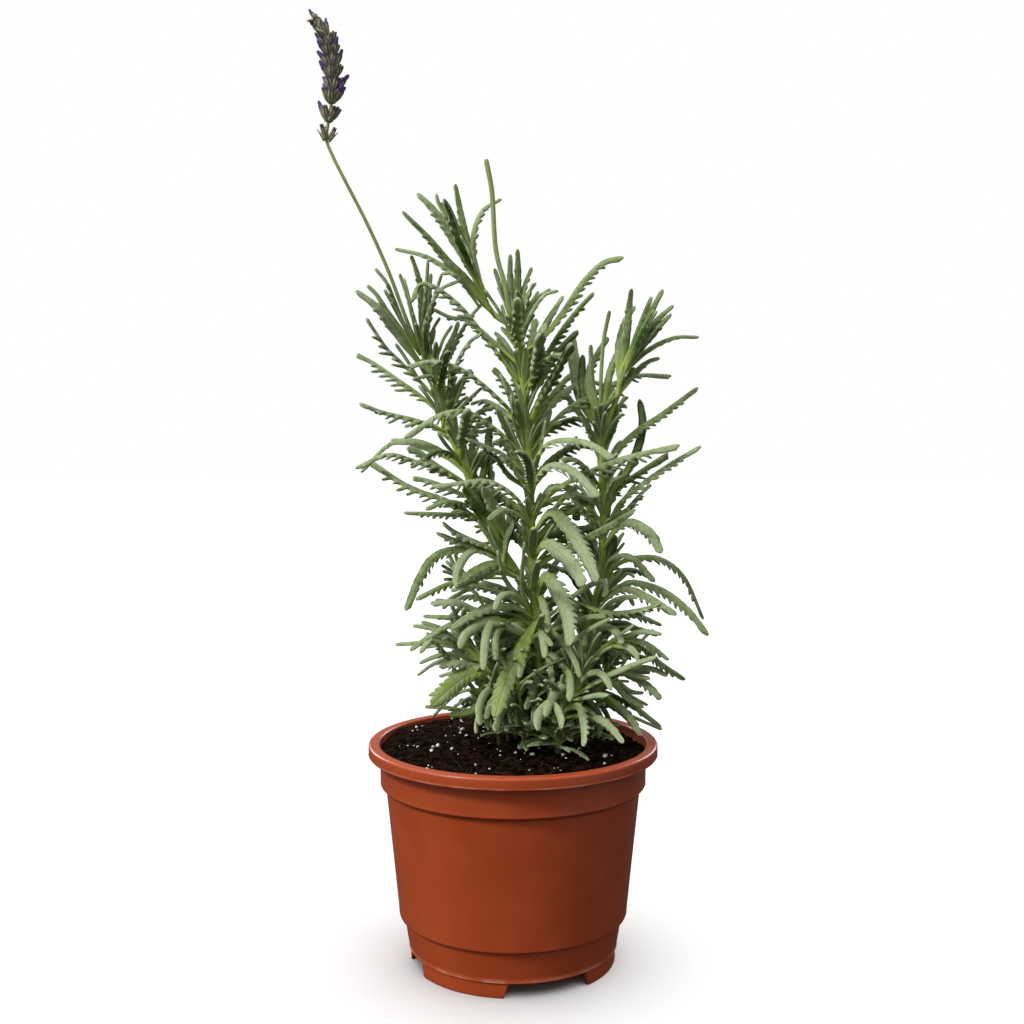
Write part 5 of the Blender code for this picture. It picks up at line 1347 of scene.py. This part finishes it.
def drilled(piece, places):
    """Takes the drain holes at these places (x, y) out of the piece's mesh."""
    tools = []
    radius = DRAIN_HOLE_RADIUS * MM
    bottom, top = BASE_UNDERSIDE - 2, BASE_TOP + 2
    for x, y in places:
        bm = bmesh.new()
        place = Matrix.Translation(Vector((x, y, (bottom + top) / 2)) * MM)
        size = {"radius1": radius, "radius2": radius, "depth": (top - bottom) * MM}
        bmesh.ops.create_cone(bm, cap_ends=True, segments=32, matrix=place, **size)
        mesh = bpy.data.meshes.new("drill")
        bm.to_mesh(mesh)
        bm.free()
        tool = bpy.data.objects.new("drill", mesh)
        bpy.context.scene.collection.objects.link(tool)
        cut = piece.modifiers.new("drill", "BOOLEAN")
        cut.operation = "DIFFERENCE"
        cut.solver = "EXACT"
        cut.object = tool
        tools.append(tool)
    bpy.context.view_layer.update()
    seen = piece.evaluated_get(bpy.context.evaluated_depsgraph_get())
    cleared = bpy.data.meshes.new_from_object(seen)
    piece.modifiers.clear()
    piece.data = cleared
    for tool in tools:
        bpy.data.objects.remove(tool)


def make_pot(finish):
    """The pot: a thin turned shell with a rolled rim, notches in its foot and drain holes in its base."""
    outline = np.array(pot_outline())
    degrees = 360 * np.arange(POT_SEGMENTS) / POT_SEGMENTS
    angles = np.radians(degrees)
    radius = np.repeat(outline[:, :1], POT_SEGMENTS, 1)
    height = np.repeat(outline[:, 1:], POT_SEGMENTS, 1)
    at_foot = ((outline[:, 1] < FOOT_HEIGHT) & (outline[:, 0] > FOOT_RADIUS - FOOT_WALL - 0.1))[:, None]
    lift = foot_lift(degrees)[None, :]
    height = np.where(at_foot, lift + height * (1 - lift / FOOT_HEIGHT), height)
    rings = np.stack((radius * np.cos(angles), radius * np.sin(angles), height), axis=2)
    share = lengths_along(outline)
    share = share / share[-1]
    outside = outline[:, 0] > FOOT_RADIUS
    seam_heights = (RIM_TOP - RIM_DEPTH + 0.6, FOOT_HEIGHT + 0.3)
    seams = sum(np.exp(-(((outline[:, 1] - level) / 0.35) ** 2)) for level in seam_heights)
    shells = [shell(rings, rows=share, pot_seam=(seams * outside)[:, None])]
    pot = as_piece("pot_shell", shells, finish, ["pot"])
    places = []
    for index in range(DRAIN_HOLES):
        turn = math.radians(DRAIN_TURN) + math.tau * index / DRAIN_HOLES
        places.append((DRAIN_CIRCLE_RADIUS * math.cos(turn), DRAIN_CIRCLE_RADIUS * math.sin(turn)))
    drilled(pot, places)


def blob(centre, sizes, turn, draw, rings, sides, rough, **attributes):
    """A small irregular lump: a crumb of peat or a grain of perlite."""
    angles = math.tau * np.arange(sides) / sides
    grid = np.empty((rings, sides, 3))
    for row, angle in enumerate(np.radians(np.linspace(-80, 80, rings))):
        grid[row, :, 0] = math.cos(angle) * np.cos(angles)
        grid[row, :, 1] = math.cos(angle) * np.sin(angles)
        grid[row, :, 2] = math.sin(angle)
    bumps = np.array([[draw.uniform(-1, 1) for _ in range(sides)] for _ in range(rings)])
    grid *= 1 + rough * bumps[..., None]
    grid *= np.array(sizes)
    spin = np.array(Matrix.Rotation(turn, 3, "Z") @ Matrix.Rotation(draw.uniform(0, 3), 3, "X"))
    return shell(grid @ spin.T + centre, **attributes)


def soil_height(x, y):
    """The height of the soil's surface, with its clods and crumbs."""
    radius = math.hypot(x, y)
    share = min(radius / SOIL_RADIUS, 1.0)
    level = SOIL_EDGE - 1.3 + (SOIL_CROWN - SOIL_EDGE - 0.4) * (1 - share**2)
    level = level + SOIL_LIFT + SOIL_TILT * y - SOIL_TILT * x / 2
    clods = noise.fractal(Vector((x / CLOD_SIZE, y / CLOD_SIZE, 1.7)), 0.9, 2.0, 3)
    crumbs = noise.fractal(Vector((x / CRUMB_SIZE, y / CRUMB_SIZE, 8.3)), 0.7, 2.1, 3)
    grit = noise.noise(Vector((x / GRIT_SIZE, y / GRIT_SIZE, 3.1)))
    return level + CLOD_HEIGHT * clods + CRUMB_HEIGHT * crumbs + GRIT_HEIGHT * grit


def soil_place(draw, within):
    """A place (x, y) anywhere on the soil, within this share of its radius."""
    angle, radius = draw.uniform(0, math.tau), SOIL_RADIUS * math.sqrt(draw.random()) * within
    return radius * math.cos(angle), radius * math.sin(angle)


def soil_fill():
    """The rough, slightly mounded surface, and the fill below it down into the pot."""
    radii = np.linspace(INNER_RING, SOIL_RADIUS + 1.3, SOIL_RINGS)
    angles = math.tau * np.arange(SOIL_SIDES) / SOIL_SIDES
    top = np.empty((SOIL_RINGS, SOIL_SIDES, 3))
    for row, radius in enumerate(radii):
        for column, angle in enumerate(angles):
            x, y = radius * math.cos(angle), radius * math.sin(angle)
            top[row, column] = (x, y, soil_height(x, y))
    wall = top[-1:] * np.array((SOIL_RADIUS / radii[-1], SOIL_RADIUS / radii[-1], 1.0))
    wall[..., 2] = SOIL_EDGE - 8
    under = wall * np.array((0.3, 0.3, 1.0))
    return shell(np.concatenate((top, wall, under)), soil_kind=0.0, soil_tone=0.5)


def fibre(draw):
    """The points of a thin fibre that lies on the soil. It ends early where it comes to the pot."""
    x, y = soil_place(draw, 0.94)
    heading, length = draw.uniform(0, math.tau), draw.uniform(2.0, 7.5)
    points = []
    while len(points) < FIBRE_POINTS and math.hypot(x, y) <= SOIL_RADIUS - 1.2:
        heading += draw.uniform(-0.7, 0.7)
        points.append((x, y, soil_height(x, y) + draw.uniform(0.1, 0.9)))
        x += math.cos(heading) * length / (FIBRE_POINTS - 1)
        y += math.sin(heading) * length / (FIBRE_POINTS - 1)
    return points


def make_soil(finish):
    """The soil: its fill, with loose crumbs and fibres on it."""
    draw = random.Random(SOIL_SEED)
    shells = [soil_fill()]
    for _ in range(LOOSE_CRUMBS):
        x, y = soil_place(draw, 0.975)
        size = draw.choice((0.5, 0.6, 0.8, 0.8, 1.1, 1.5))
        sizes = [size * draw.uniform(*span) for span in ((0.8, 1.5), (0.7, 1.1), (0.5, 0.9))]
        centre = (x, y, soil_height(x, y) + size * 0.25)
        turn, tone = draw.uniform(0, 6), draw.random()
        shells.append(blob(centre, sizes, turn, draw, 5, 7, 0.22, soil_kind=0.0, soil_tone=tone))
    for _ in range(FIBRES):
        points = fibre(draw)
        if len(points) > 1:
            path = smooth_path(points, 3)
            radius = np.full(len(path), draw.uniform(0.09, 0.24))
            shells.append(tube(path, radius, 5, soil_kind=1.0, soil_tone=draw.random()))
    as_piece("peat_with_fibres", shells, finish, ["potting_soil"])


def make_perlite(finish):
    """White grains of perlite in the surface of the soil."""
    draw = random.Random(GRAIN_SEED)
    shells = []
    for _ in range(GRAINS):
        x, y = soil_place(draw, 0.96)
        size = draw.choice((0.3, 0.35, 0.4, 0.45, 0.5, 0.6, 0.75, 1.0))
        sizes = [size * draw.uniform(*span) for span in ((0.9, 1.4), (0.8, 1.1), (0.6, 0.9))]
        centre = (x, y, soil_height(x, y) + size * 0.45)
        turn, tone = draw.uniform(0, 6), draw.random()
        shells.append(blob(centre, sizes, turn, draw, 7, 9, 0.16, grain_tone=tone))
    as_piece("perlite_grains", shells, finish)


# --------------------------------------------------------------------------------------------- materials


class Net:
    """A material's nodes. A value is either a number, a colour, or the output of another node."""

    def __init__(self, name):
        self.material = bpy.data.materials.new(name)
        self.material.use_nodes = True
        self.tree = self.material.node_tree
        self.shader = self.tree.nodes["Principled BSDF"]

    def put(self, socket, value):
        """Sets a socket to a value, or links it to the node that gives it."""
        if isinstance(value, bpy.types.NodeSocket):
            self.tree.links.new(value, socket)
        elif isinstance(value, tuple) and len(value) == 3 and socket.type == "RGBA":
            socket.default_value = (*value, 1.0)
        else:
            socket.default_value = value

    def node(self, kind, inputs=None, **settings):
        made = self.tree.nodes.new(kind)
        for key, value in settings.items():
            setattr(made, key, value)
        for key, value in (inputs or {}).items():
            self.put(made.inputs[key], value)
        return made

    def attribute(self, name):
        return self.node("ShaderNodeAttribute", attribute_name=name).outputs["Fac"]

    def place(self, stretch=(1.0, 1.0, 1.0)):
        """Coordinates on the object in metres, stretched along each axis."""
        where = self.node("ShaderNodeTexCoord").outputs["Object"]
        if stretch == (1.0, 1.0, 1.0):
            return where
        return self.node("ShaderNodeMapping", {"Vector": where, "Scale": stretch}).outputs["Vector"]

    def noise(self, scale, detail, rough, where=None):
        inputs = {"Vector": where or self.place(), "Scale": scale, "Detail": detail, "Roughness": rough}
        return self.node("ShaderNodeTexNoise", inputs).outputs["Fac"]

    def mix(self, share, one, other):
        made = self.node("ShaderNodeMix", data_type="RGBA")
        self.put(made.inputs[0], share)
        self.put(made.inputs[6], one)
        self.put(made.inputs[7], other)
        return made.outputs[2]

    def calc(self, operation, one, other, clamp=False):
        made = self.node("ShaderNodeMath", operation=operation, use_clamp=clamp)
        self.put(made.inputs[0], one)
        self.put(made.inputs[1], other)
        return made.outputs[0]

    def between(self, value, low, high, to_low=0.0, to_high=1.0):
        """Takes low to to_low and high to to_high, with a smooth change between."""
        inputs = {"Value": value, "From Min": low, "From Max": high, "To Min": to_low, "To Max": to_high}
        return self.node("ShaderNodeMapRange", inputs, interpolation_type="SMOOTHSTEP").outputs["Result"]

    def bump(self, height, strength, distance, before=None):
        inputs = {"Height": height, "Strength": strength, "Distance": distance}
        if before:
            inputs["Normal"] = before
        return self.node("ShaderNodeBump", inputs).outputs["Normal"]

    def finish(self, colour, roughness, normal=None, **constants):
        """The finished material. The names of the constants are the shader's, with _ for a space."""
        self.put(self.shader.inputs["Base Color"], colour)
        self.put(self.shader.inputs["Roughness"], roughness)
        if normal:
            self.put(self.shader.inputs["Normal"], normal)
        for key, value in constants.items():
            self.put(self.shader.inputs[key.replace("_", " ")], value)
        return self.material


def leaf_felt():
    """Lavender leaf: green under a pale felt, thickest on raised places, thin at the foot; paler at the
    midrib and margins (felt and painted highlight), darker in the midrib's groove (green vein and painted
    shade) and on the underside (painted shade).
    """
    net = Net("leaf_felt")
    tone = net.attribute("leaf_tone")
    fresh = net.attribute("leaf_fresh")
    along = net.attribute("leaf_along")
    reach = net.attribute("leaf_reach")
    edge = net.attribute("leaf_edge")
    under = net.attribute("leaf_under")
    patches = net.noise(150.0, 3.0, 0.6)
    wrinkles = net.noise(520.0, 3.0, 0.65)
    fuzz = net.noise(1500.0, 3.0, 0.7)
    felt = net.calc("ADD", tone, net.between(patches, 0.3, 0.7, -0.22, 0.22))
    felt = net.calc("ADD", felt, net.between(wrinkles, 0.32, 0.68, -0.26, 0.2))
    felt = net.calc("ADD", felt, net.between(fuzz, 0.3, 0.7, -0.12, 0.12))
    felt = net.calc("MULTIPLY", felt, net.between(along, 0.0, 0.36, 0.35, 1.0), True)
    green = net.mix(tone, (0.026, 0.066, 0.002), (0.12, 0.182, 0.02))
    green = net.mix(fresh, green, (0.2, 0.29, 0.045))
    colour = net.mix(felt, green, (0.325, 0.395, 0.225))
    # Paler beside the midrib: partly thicker felt on the raised midrib, partly painted highlight
    colour = net.mix(net.between(reach, 0.04, 0.12, 0.3, 0.0), colour, (0.38, 0.46, 0.22))
    # Darker line in the midrib's groove, strongest on fresh leaves: partly the green vein, partly painted
    # shade
    groove = net.mix(tone, (0.05, 0.09, 0.012), (0.1, 0.15, 0.03))
    groove_shade = net.between(reach, 0.012, 0.035, 1.0, 0.0)
    groove_shade = net.calc("MULTIPLY", groove_shade, net.between(fresh, 0.2, 1.0, 0.3, 0.7))
    colour = net.mix(groove_shade, colour, groove)
    # Darker green on the underside: painted shade
    colour = net.mix(net.calc("MULTIPLY", under, 0.6), colour, (0.12, 0.19, 0.03))
    # Paler at the margins: partly thicker felt on the rolled margins, partly painted highlight
    colour = net.mix(net.between(edge, 0.01, 0.05, 0.75, 0.0), colour, (0.42, 0.48, 0.3))
    foot = net.between(along, 0.02, 0.48, 0.95, 0.0)
    colour = net.mix(foot, colour, (0.36, 0.47, 0.1))
    roughness = net.between(fuzz, 0.2, 0.8, 0.6, 0.82)
    normal = net.bump(wrinkles, 0.4, 0.0006)
    normal = net.bump(fuzz, 0.35, 0.00025, normal)
    constants = {"Sheen_Weight": 0.04, "Sheen_Roughness": 0.45, "Sheen_Tint": (0.85, 0.95, 0.75)}
    return net.finish(colour, roughness, normal, Specular_IOR_Level=0.12, **constants)


def stem_skin():
    """Young stem: yellow-green with a pale down in lines; dark brown and woody near the soil, painted
    darker still there as shade at the foot of the bush.
    """
    net = Net("stem_skin")
    old = net.attribute("stem_old")
    lines = net.noise(60.0, 3.0, 0.6, net.place((14.0, 14.0, 0.5)))
    down = net.noise(1100.0, 3.0, 0.7)
    patches = net.noise(90.0, 3.0, 0.6)
    colour = net.mix(net.between(lines, 0.35, 0.7), (0.27, 0.37, 0.05), (0.39, 0.49, 0.12))
    colour = net.mix(net.between(patches, 0.45, 0.75, 0.0, 0.45), colour, (0.34, 0.42, 0.19))
    # Near-black brown: the woody foot's own brown, darkened as painted shade
    bark_and_shade_colour = net.mix(net.between(lines, 0.3, 0.7), (0.03, 0.022, 0.01), (0.085, 0.068, 0.032))
    colour = net.mix(net.calc("MULTIPLY", old, 0.92), colour, bark_and_shade_colour)
    normal = net.bump(lines, 0.25, 0.0004)
    normal = net.bump(down, 0.25, 0.0002, normal)
    constants = {"Sheen_Weight": 0.1, "Sheen_Roughness": 0.5, "Sheen_Tint": (0.9, 0.95, 0.75)}
    roughness = net.between(down, 0.2, 0.8, 0.5, 0.72)
    return net.finish(colour, roughness, normal, Specular_IOR_Level=0.3, **constants)


def stalk_skin():
    """Flower stalk: grey-green under its down, in fine lines along it."""
    net = Net("stalk_skin")
    lines = net.noise(60.0, 3.0, 0.6, net.place((14.0, 14.0, 0.4)))
    down = net.noise(1100.0, 3.0, 0.7)
    colour = net.mix(net.between(lines, 0.3, 0.75), (0.24, 0.32, 0.08), (0.36, 0.44, 0.17))
    colour = net.mix(net.between(down, 0.4, 0.75, 0.0, 0.4), colour, (0.27, 0.32, 0.19))
    colour = net.mix(net.attribute("stem_old"), colour, (0.36, 0.24, 0.1))
    normal = net.bump(down, 0.25, 0.0002)
    constants = {"Sheen_Weight": 0.1, "Sheen_Roughness": 0.5, "Sheen_Tint": (0.9, 0.95, 0.8)}
    return net.finish(colour, 0.62, normal, Specular_IOR_Level=0.3, **constants)


def calyx_skin():
    """Calyx: grey-brown and downy, violet between its ribs and at its mouth, with a dark violet bud."""
    net = Net("calyx_skin")
    along = net.attribute("spike_along")
    rib = net.attribute("spike_rib")
    bud = net.attribute("spike_bud")
    tone = net.attribute("spike_tone")
    down = net.noise(1400.0, 3.0, 0.7)
    patches = net.noise(420.0, 2.0, 0.6)
    ribbed = net.mix(net.between(rib, -0.7, 0.8), (0.1, 0.07, 0.08), (0.5, 0.48, 0.32))
    ribbed = net.mix(net.between(patches, 0.4, 0.7, 0.0, 0.45), ribbed, (0.2, 0.15, 0.15))
    ribbed = net.mix(net.between(along, 0.02, 0.42, 0.9, 0.0), ribbed, (0.33, 0.41, 0.12))
    mouth = net.calc("MULTIPLY", net.between(along, 0.66, 0.95), net.calc("ADD", tone, 0.55, True))
    ribbed = net.mix(mouth, ribbed, (0.03, 0.014, 0.045))
    scale = net.mix(net.between(rib, 0.05, 0.45), (0.5, 0.5, 0.4), (0.2, 0.225, 0.1))
    scale = net.mix(net.between(along, 0.7, 1.0, 0.0, 0.6), scale, (0.1, 0.06, 0.075))
    scale = net.mix(net.between(along, 0.0, 0.4, 0.9, 0.0), scale, (0.33, 0.43, 0.12))
    violet = net.mix(tone, (0.05, 0.015, 0.11), (0.14, 0.045, 0.3))
    colour = net.mix(net.between(bud, 0.25, 0.5), ribbed, scale)
    colour = net.mix(net.between(bud, 0.6, 0.95), colour, violet)
    colour = net.mix(net.between(down, 0.45, 0.75, 0.0, 0.2), colour, (0.4, 0.37, 0.34))
    normal = net.bump(down, 0.4, 0.0002)
    constants = {"Sheen_Weight": 0.2, "Sheen_Roughness": 0.5, "Sheen_Tint": (0.85, 0.82, 0.9)}
    return net.finish(colour, 0.72, normal, Specular_IOR_Level=0.3, **constants)


def terracotta_plastic():
    """Moulded plastic: terracotta, satin, faintly mottled, with fine moulding lines and a few scuffs."""
    net = Net("terracotta_plastic")
    mottle = net.noise(38.0, 3.0, 0.6)
    fine = net.noise(900.0, 2.0, 0.6)
    rings = net.noise(30.0, 2.0, 0.6, net.place((0.3, 0.3, 26.0)))
    scuffs = net.noise(60.0, 2.0, 0.7, net.place((1.0, 1.0, 0.12)))
    colour = net.mix(net.between(mottle, 0.3, 0.7), (0.355, 0.055, 0.0135), (0.4, 0.066, 0.018))
    colour = net.mix(net.between(rings, 0.35, 0.7, 0.0, 0.15), colour, (0.385, 0.064, 0.019))
    colour = net.mix(net.between(scuffs, 0.68, 0.82, 0.0, 0.25), colour, (0.4, 0.085, 0.03))
    colour = net.mix(net.between(fine, 0.66, 0.8, 0.0, 0.3), colour, (0.38, 0.075, 0.026))
    # Paler in patches along the seam lines: partly wear on the moulding flash, partly a painted highlight
    # on it
    seam = net.attribute("pot_seam")
    seam_wear_and_highlight = net.calc("MULTIPLY", seam, net.between(net.noise(85.0, 2.0, 0.6), 0.42, 0.6))
    colour = net.mix(seam_wear_and_highlight, colour, (0.47, 0.17, 0.1))
    roughness = net.between(mottle, 0.25, 0.75, 0.32, 0.4)
    roughness = net.calc("ADD", roughness, net.between(scuffs, 0.6, 0.85, 0.0, 0.14))
    normal = net.bump(rings, 0.05, 0.0004)
    normal = net.bump(fine, 0.16, 0.00012, normal)
    coat = {"Coat_Weight": 0.35, "Coat_Roughness": 0.16, "Coat_IOR": 1.4}
    return net.finish(colour, roughness, normal, Specular_IOR_Level=0.25, **coat)


def peat():
    """Peat: dark brown mottled with near black, a painted shade for the gaps between the crumbs; brown on
    the crumbs, with reddish fibres.
    """
    net = Net("peat")
    kind = net.attribute("soil_kind")
    tone = net.attribute("soil_tone")
    coarse = net.noise(260.0, 3.0, 0.65)
    fine = net.noise(1200.0, 3.0, 0.7)
    # The near-black colour is painted shade between the crumbs; the dark brown is the peat's own
    colour = net.mix(net.between(coarse, 0.35, 0.7), (0.0006, 0.0003, 0.0002), (0.02, 0.0095, 0.0045))
    colour = net.mix(net.between(tone, 0.55, 1.0, 0.0, 0.5), colour, (0.046, 0.0215, 0.0105))
    colour = net.mix(net.between(fine, 0.6, 0.85, 0.0, 0.5), colour, (0.072, 0.036, 0.018))
    fibre = net.mix(tone, (0.012, 0.006, 0.0035), (0.075, 0.038, 0.02))
    colour = net.mix(kind, colour, fibre)
    normal = net.bump(net.noise(700.0, 3.0, 0.7), 0.7, 0.0008)
    return net.finish(colour, 0.95, normal, Specular_IOR_Level=0.02)


def perlite():
    """Perlite: white and chalky, with grey pores."""
    net = Net("perlite")
    pores = net.noise(1800.0, 2.0, 0.6)
    tone = net.attribute("grain_tone")
    colour = net.mix(net.between(pores, 0.45, 0.7), (0.86, 0.85, 0.82), (0.5, 0.48, 0.44))
    colour = net.mix(net.between(tone, 0.6, 1.0, 0.0, 0.35), colour, (0.42, 0.36, 0.28))
    return net.finish(colour, 0.88, net.bump(pores, 0.6, 0.0003), Specular_IOR_Level=0.2)


def studio_floor():
    """The white sweep that the pot stands on."""
    net = Net("studio_floor")
    grain = net.noise(30.0, 2.0, 0.5)
    return net.finish(net.mix(net.between(grain, 0.3, 0.7), (0.7, 0.7, 0.7), (0.71, 0.71, 0.71)), 0.75)


# ----------------------------------------------------------------------------------------- all the leaves

LEAF_SEED = 100
# Small leaves in the axils: the stems that share each piece, as (name, heights of the nodes, seed)
AXIL_LEAVES = {
    "axil_leaves_centre": [("stem_centre", NODES["stem_centre"], 21)],
    "axil_leaves_left": [("stem_left", NODES["stem_left"], 22)],
    "axil_leaves_right": [("stem_right", NODES["stem_right"][1:], 23)],
    "axil_leaves_low": [
        ("stem_front", NODES["stem_front"], 24),
        ("shoot_low_left", NODES["shoot_low_left"], 25),
        ("shoot_low_right", NODES["shoot_low_right"], 26),
    ],
}
# Short shoots low in the bush: (x, y) where each leaves the soil, its heading, how far its tip leans in
# degrees, and the length of the stretch that leans
LOW_SHOOTS = [
    (2, 10, 110, 45, 52), (-6, -2, 195, 50, 44), (6, -8, 250, 35, 40), (24, 14, 60, 45, 56),
    (30, 2, 350, 50, 46), (12, 18, 95, 60, 60), (-4, 14, 150, 50, 50), (18, -6, 300, 45, 34),
    (26, 20, 25, 55, 50), (8, 4, 170, 30, 64), (20, 4, 20, 35, 62), (4, 22, 75, 40, 58),
    (-2, 4, 180, 20, 50), (30, 10, 5, 25, 50), (14, 8, 90, 10, 60),
]
LOW_SHOOT_SEED = 300
# Leaves round the foot of the bush, which hide the stems: (x, y) where each bunch starts, its height, and
# how many leaves it has
SKIRT_BUNCHES = [
    (12, -4, 112, 9), (17, 4, 114, 8), (22, -15, 113, 9), (4, 0, 114, 9), (28, 0, 116, 9),
    (-2, 6, 117, 7), (32, 10, 118, 7), (22, -17, 109, 9), (14, -8, 109, 8), (5, -5, 109, 8),
    (29, -6, 110, 8), (12, -4, 124, 8), (24, -14, 124, 7), (0, 0, 126, 7), (32, 2, 128, 7),
    (18, -8, 133, 7),
]
SKIRT_LEAF_WIDTHS = {"finger": 3.6, "toothed": 5.2, "plain": 3.8}
SKIRT_SEED = 61
# Leaves towards the back and the sides, which the front doesn't show: (stem, seed, headings, range of
# their lengths, nodes as (height, least rise, greatest rise))
BACK_LEAVES = {
    "back_leaves_centre": ("stem_centre", 41, (62, 92, 122), (34, 52), [
        (148, 20, 50), (172, 20, 50), (193, 25, 55), (209, 30, 60), (228, 35, 60), (245, 35, 65),
        (256, 40, 65), (275, 45, 70),
    ]),
    "back_leaves_left": ("stem_left", 42, (75, 110), (30, 44), [
        (200, 25, 55), (214, 30, 60), (232, 35, 60), (246, 40, 65), (261, 45, 70), (277, 50, 70),
    ]),
    "back_leaves_right": ("stem_right", 43, (65, 100), (32, 46), [
        (152, 20, 50), (168, 25, 55), (184, 25, 55), (203, 30, 60), (214, 30, 60), (231, 35, 65),
        (248, 45, 70),
    ]),
}


def make_leaves(finish):
    """Every leaf of the tables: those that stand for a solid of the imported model, then the groups."""
    seed = LEAF_SEED
    for name, row in LEAVES.items():
        seed += 1
        as_piece(name + "_blade", [leaf_shell(*row, seed)], finish, [name])
    for name, rows in MORE_LEAVES.items():
        shells = []
        for row in rows:
            seed += 1
            shells.append(leaf_shell(*row, seed, fine=row[0] == "broad"))
        as_piece(name, shells, finish)


def skirt_leaves():
    """Short leaves low in the bush, most of them in its shade, that spread and droop to the soil."""
    draw = random.Random(SKIRT_SEED)
    shells = []
    for x, y, height, count in SKIRT_BUNCHES:
        for turn in range(count):
            heading = 360 * turn / count + draw.uniform(-18, 18)
            kind = draw.choice(("finger", "finger", "toothed", "plain"))
            width = SKIRT_LEAF_WIDTHS[kind] * draw.uniform(0.85, 1.15)
            # Mostly the dark tone, painted shade for leaves in the shade at the foot of the bush
            tone = draw.choice(("dark", "dark", "green"))
            start = np.array((x, y, height + draw.uniform(-2, 3)))
            length, rise = draw.uniform(14, 27), draw.uniform(5, 50)
            shells.append(young_leaf(start, heading, rise, length, width, kind, tone, draw))
    return shells


def make_leaves_by_rule(felt, skin):
    """Leaves in the axils, the short shoots, the leaves round the foot and those towards the back."""
    for name, rows in AXIL_LEAVES.items():
        as_piece(name, [leaf for row in rows for leaf in axil_leaves(*row)], felt)
    shoots = [low_shoot(*row, LOW_SHOOT_SEED + index) for index, row in enumerate(LOW_SHOOTS)]
    as_piece("low_shoots", [stem for stem, _ in shoots], skin)
    for part, name in enumerate(("low_shoot_leaves_a", "low_shoot_leaves_b", "low_shoot_leaves_c")):
        as_piece(name, [leaf for _, leaves in shoots[part::3] for leaf in leaves], felt)
    as_piece("skirt_leaves", skirt_leaves(), felt)
    for name, row in BACK_LEAVES.items():
        as_piece(name, side_leaves(*row), felt)


# ---------------------------------------------------------------------------------- floor, light and view

# From the middle of the floor to each side, in metres
FLOOR_REACH = 6.0
# Each light: (azimuth, elevation, spread, strength, whether it lights the floor alone, or all but it)
LIGHTS = {
    "key": (216, 42, 14, 1.95, False),
    "wide_key": (220, 38, 80, 1.25, False),
    "top": (100, 80, 60, 1.3, False),
    "fill": (335, 20, 90, 0.42, False),
    "edge_right": (62, 22, 24, 0.7, False),
    "edge_left": (124, 22, 24, 0.9, False),
    "floor_sky": (0, 90, 105, 4.9, True),
}
# The camera stands where the front elevation is drawn from, and looks down by so many degrees. Its lens and
# film are in millimetres, and its shift is a share of the picture's width.
CAMERA_TILT = 3.717
CAMERA_LENS = 44.73
CAMERA_FILM = 36.0
CAMERA_SHIFT = -0.00105


def white_floor():
    """The floor that the pot stands on, which isn't part of it."""
    bm = bmesh.new()
    bmesh.ops.create_grid(bm, x_segments=1, y_segments=1, size=FLOOR_REACH)
    mesh = bpy.data.meshes.new("floor")
    bm.to_mesh(mesh)
    bm.free()
    mesh.materials.append(studio_floor())
    floor = bpy.data.objects.new("floor", mesh)
    bpy.context.scene.collection.objects.link(floor)
    return floor


def soft_sun(name, azimuth, elevation, spread, strength, only_floor, floor):
    """Even light from a wide patch of the sky, on the floor only or on all but the floor.

    The azimuth is in degrees from +X round to the back.
    """
    data = bpy.data.lights.new(name, "SUN")
    data.angle = math.radians(spread)
    data.energy = strength
    light = bpy.data.objects.new(name, data)
    around, up = math.radians(azimuth), math.radians(elevation)
    towards = Vector((math.cos(around) * math.cos(up), math.sin(around) * math.cos(up), math.sin(up)))
    light.rotation_euler = towards.to_track_quat("Z", "Y").to_euler()
    bpy.context.scene.collection.objects.link(light)
    lit = bpy.data.collections.new(name + "_lights")
    lit.objects.link(floor)
    lit.collection_objects[0].light_linking.link_state = "INCLUDE" if only_floor else "EXCLUDE"
    light.light_linking.receiver_collection = lit


def pale_world():
    """A white world to look at, which lights the plant more softly, and least from below."""
    world = bpy.data.worlds.new("studio")
    world.use_nodes = True
    tree = world.node_tree
    where = tree.nodes.new("ShaderNodeTexCoord")
    split = tree.nodes.new("ShaderNodeSeparateXYZ")
    fade = tree.nodes.new("ShaderNodeMapRange")
    seen = tree.nodes.new("ShaderNodeLightPath")
    strength = tree.nodes.new("ShaderNodeMix")
    for key, value in {"From Min": -0.4, "From Max": 0.5, "To Min": 0.05, "To Max": 0.3}.items():
        fade.inputs[key].default_value = value
    tree.links.new(where.outputs["Generated"], split.inputs["Vector"])
    tree.links.new(split.outputs["Z"], fade.inputs["Value"])
    tree.links.new(seen.outputs["Is Camera Ray"], strength.inputs[0])
    tree.links.new(fade.outputs["Result"], strength.inputs[2])
    strength.inputs[3].default_value = 1.0
    tree.links.new(strength.outputs[0], tree.nodes["Background"].inputs["Strength"])
    tree.nodes["Background"].inputs["Color"].default_value = (1.0, 1.0, 1.0, 1.0)
    bpy.context.scene.world = world


def studio(floor):
    """The pale world, soft lights and the camera."""
    scene = bpy.context.scene
    scene.view_settings.view_transform = "Standard"
    pale_world()
    floor.visible_diffuse = False
    floor.visible_glossy = False
    for name, row in LIGHTS.items():
        soft_sun(name, *row, floor)
    camera = bpy.data.objects.new("camera", bpy.data.cameras.new("camera"))
    camera.location = (0.0, -EYE_DISTANCE * MM, EYE_HEIGHT * MM)
    camera.rotation_euler = (math.radians(90 - CAMERA_TILT), 0.0, 0.0)
    camera.data.lens = CAMERA_LENS
    camera.data.sensor_width = CAMERA_FILM
    camera.data.shift_x = CAMERA_SHIFT
    scene.collection.objects.link(camera)
    scene.camera = camera


make_pot(terracotta_plastic())
make_soil(peat())
make_perlite(perlite())
skin = stem_skin()
stalk = stalk_skin()
for stem in STEMS:
    make_stem(stem, stalk if "stalk" in stem else skin)
felt = leaf_felt()
make_leaves(felt)
make_leaves_by_rule(felt, skin)
down = calyx_skin()
for whorl in WHORLS:
    make_whorl(whorl, down)
studio(white_floor())
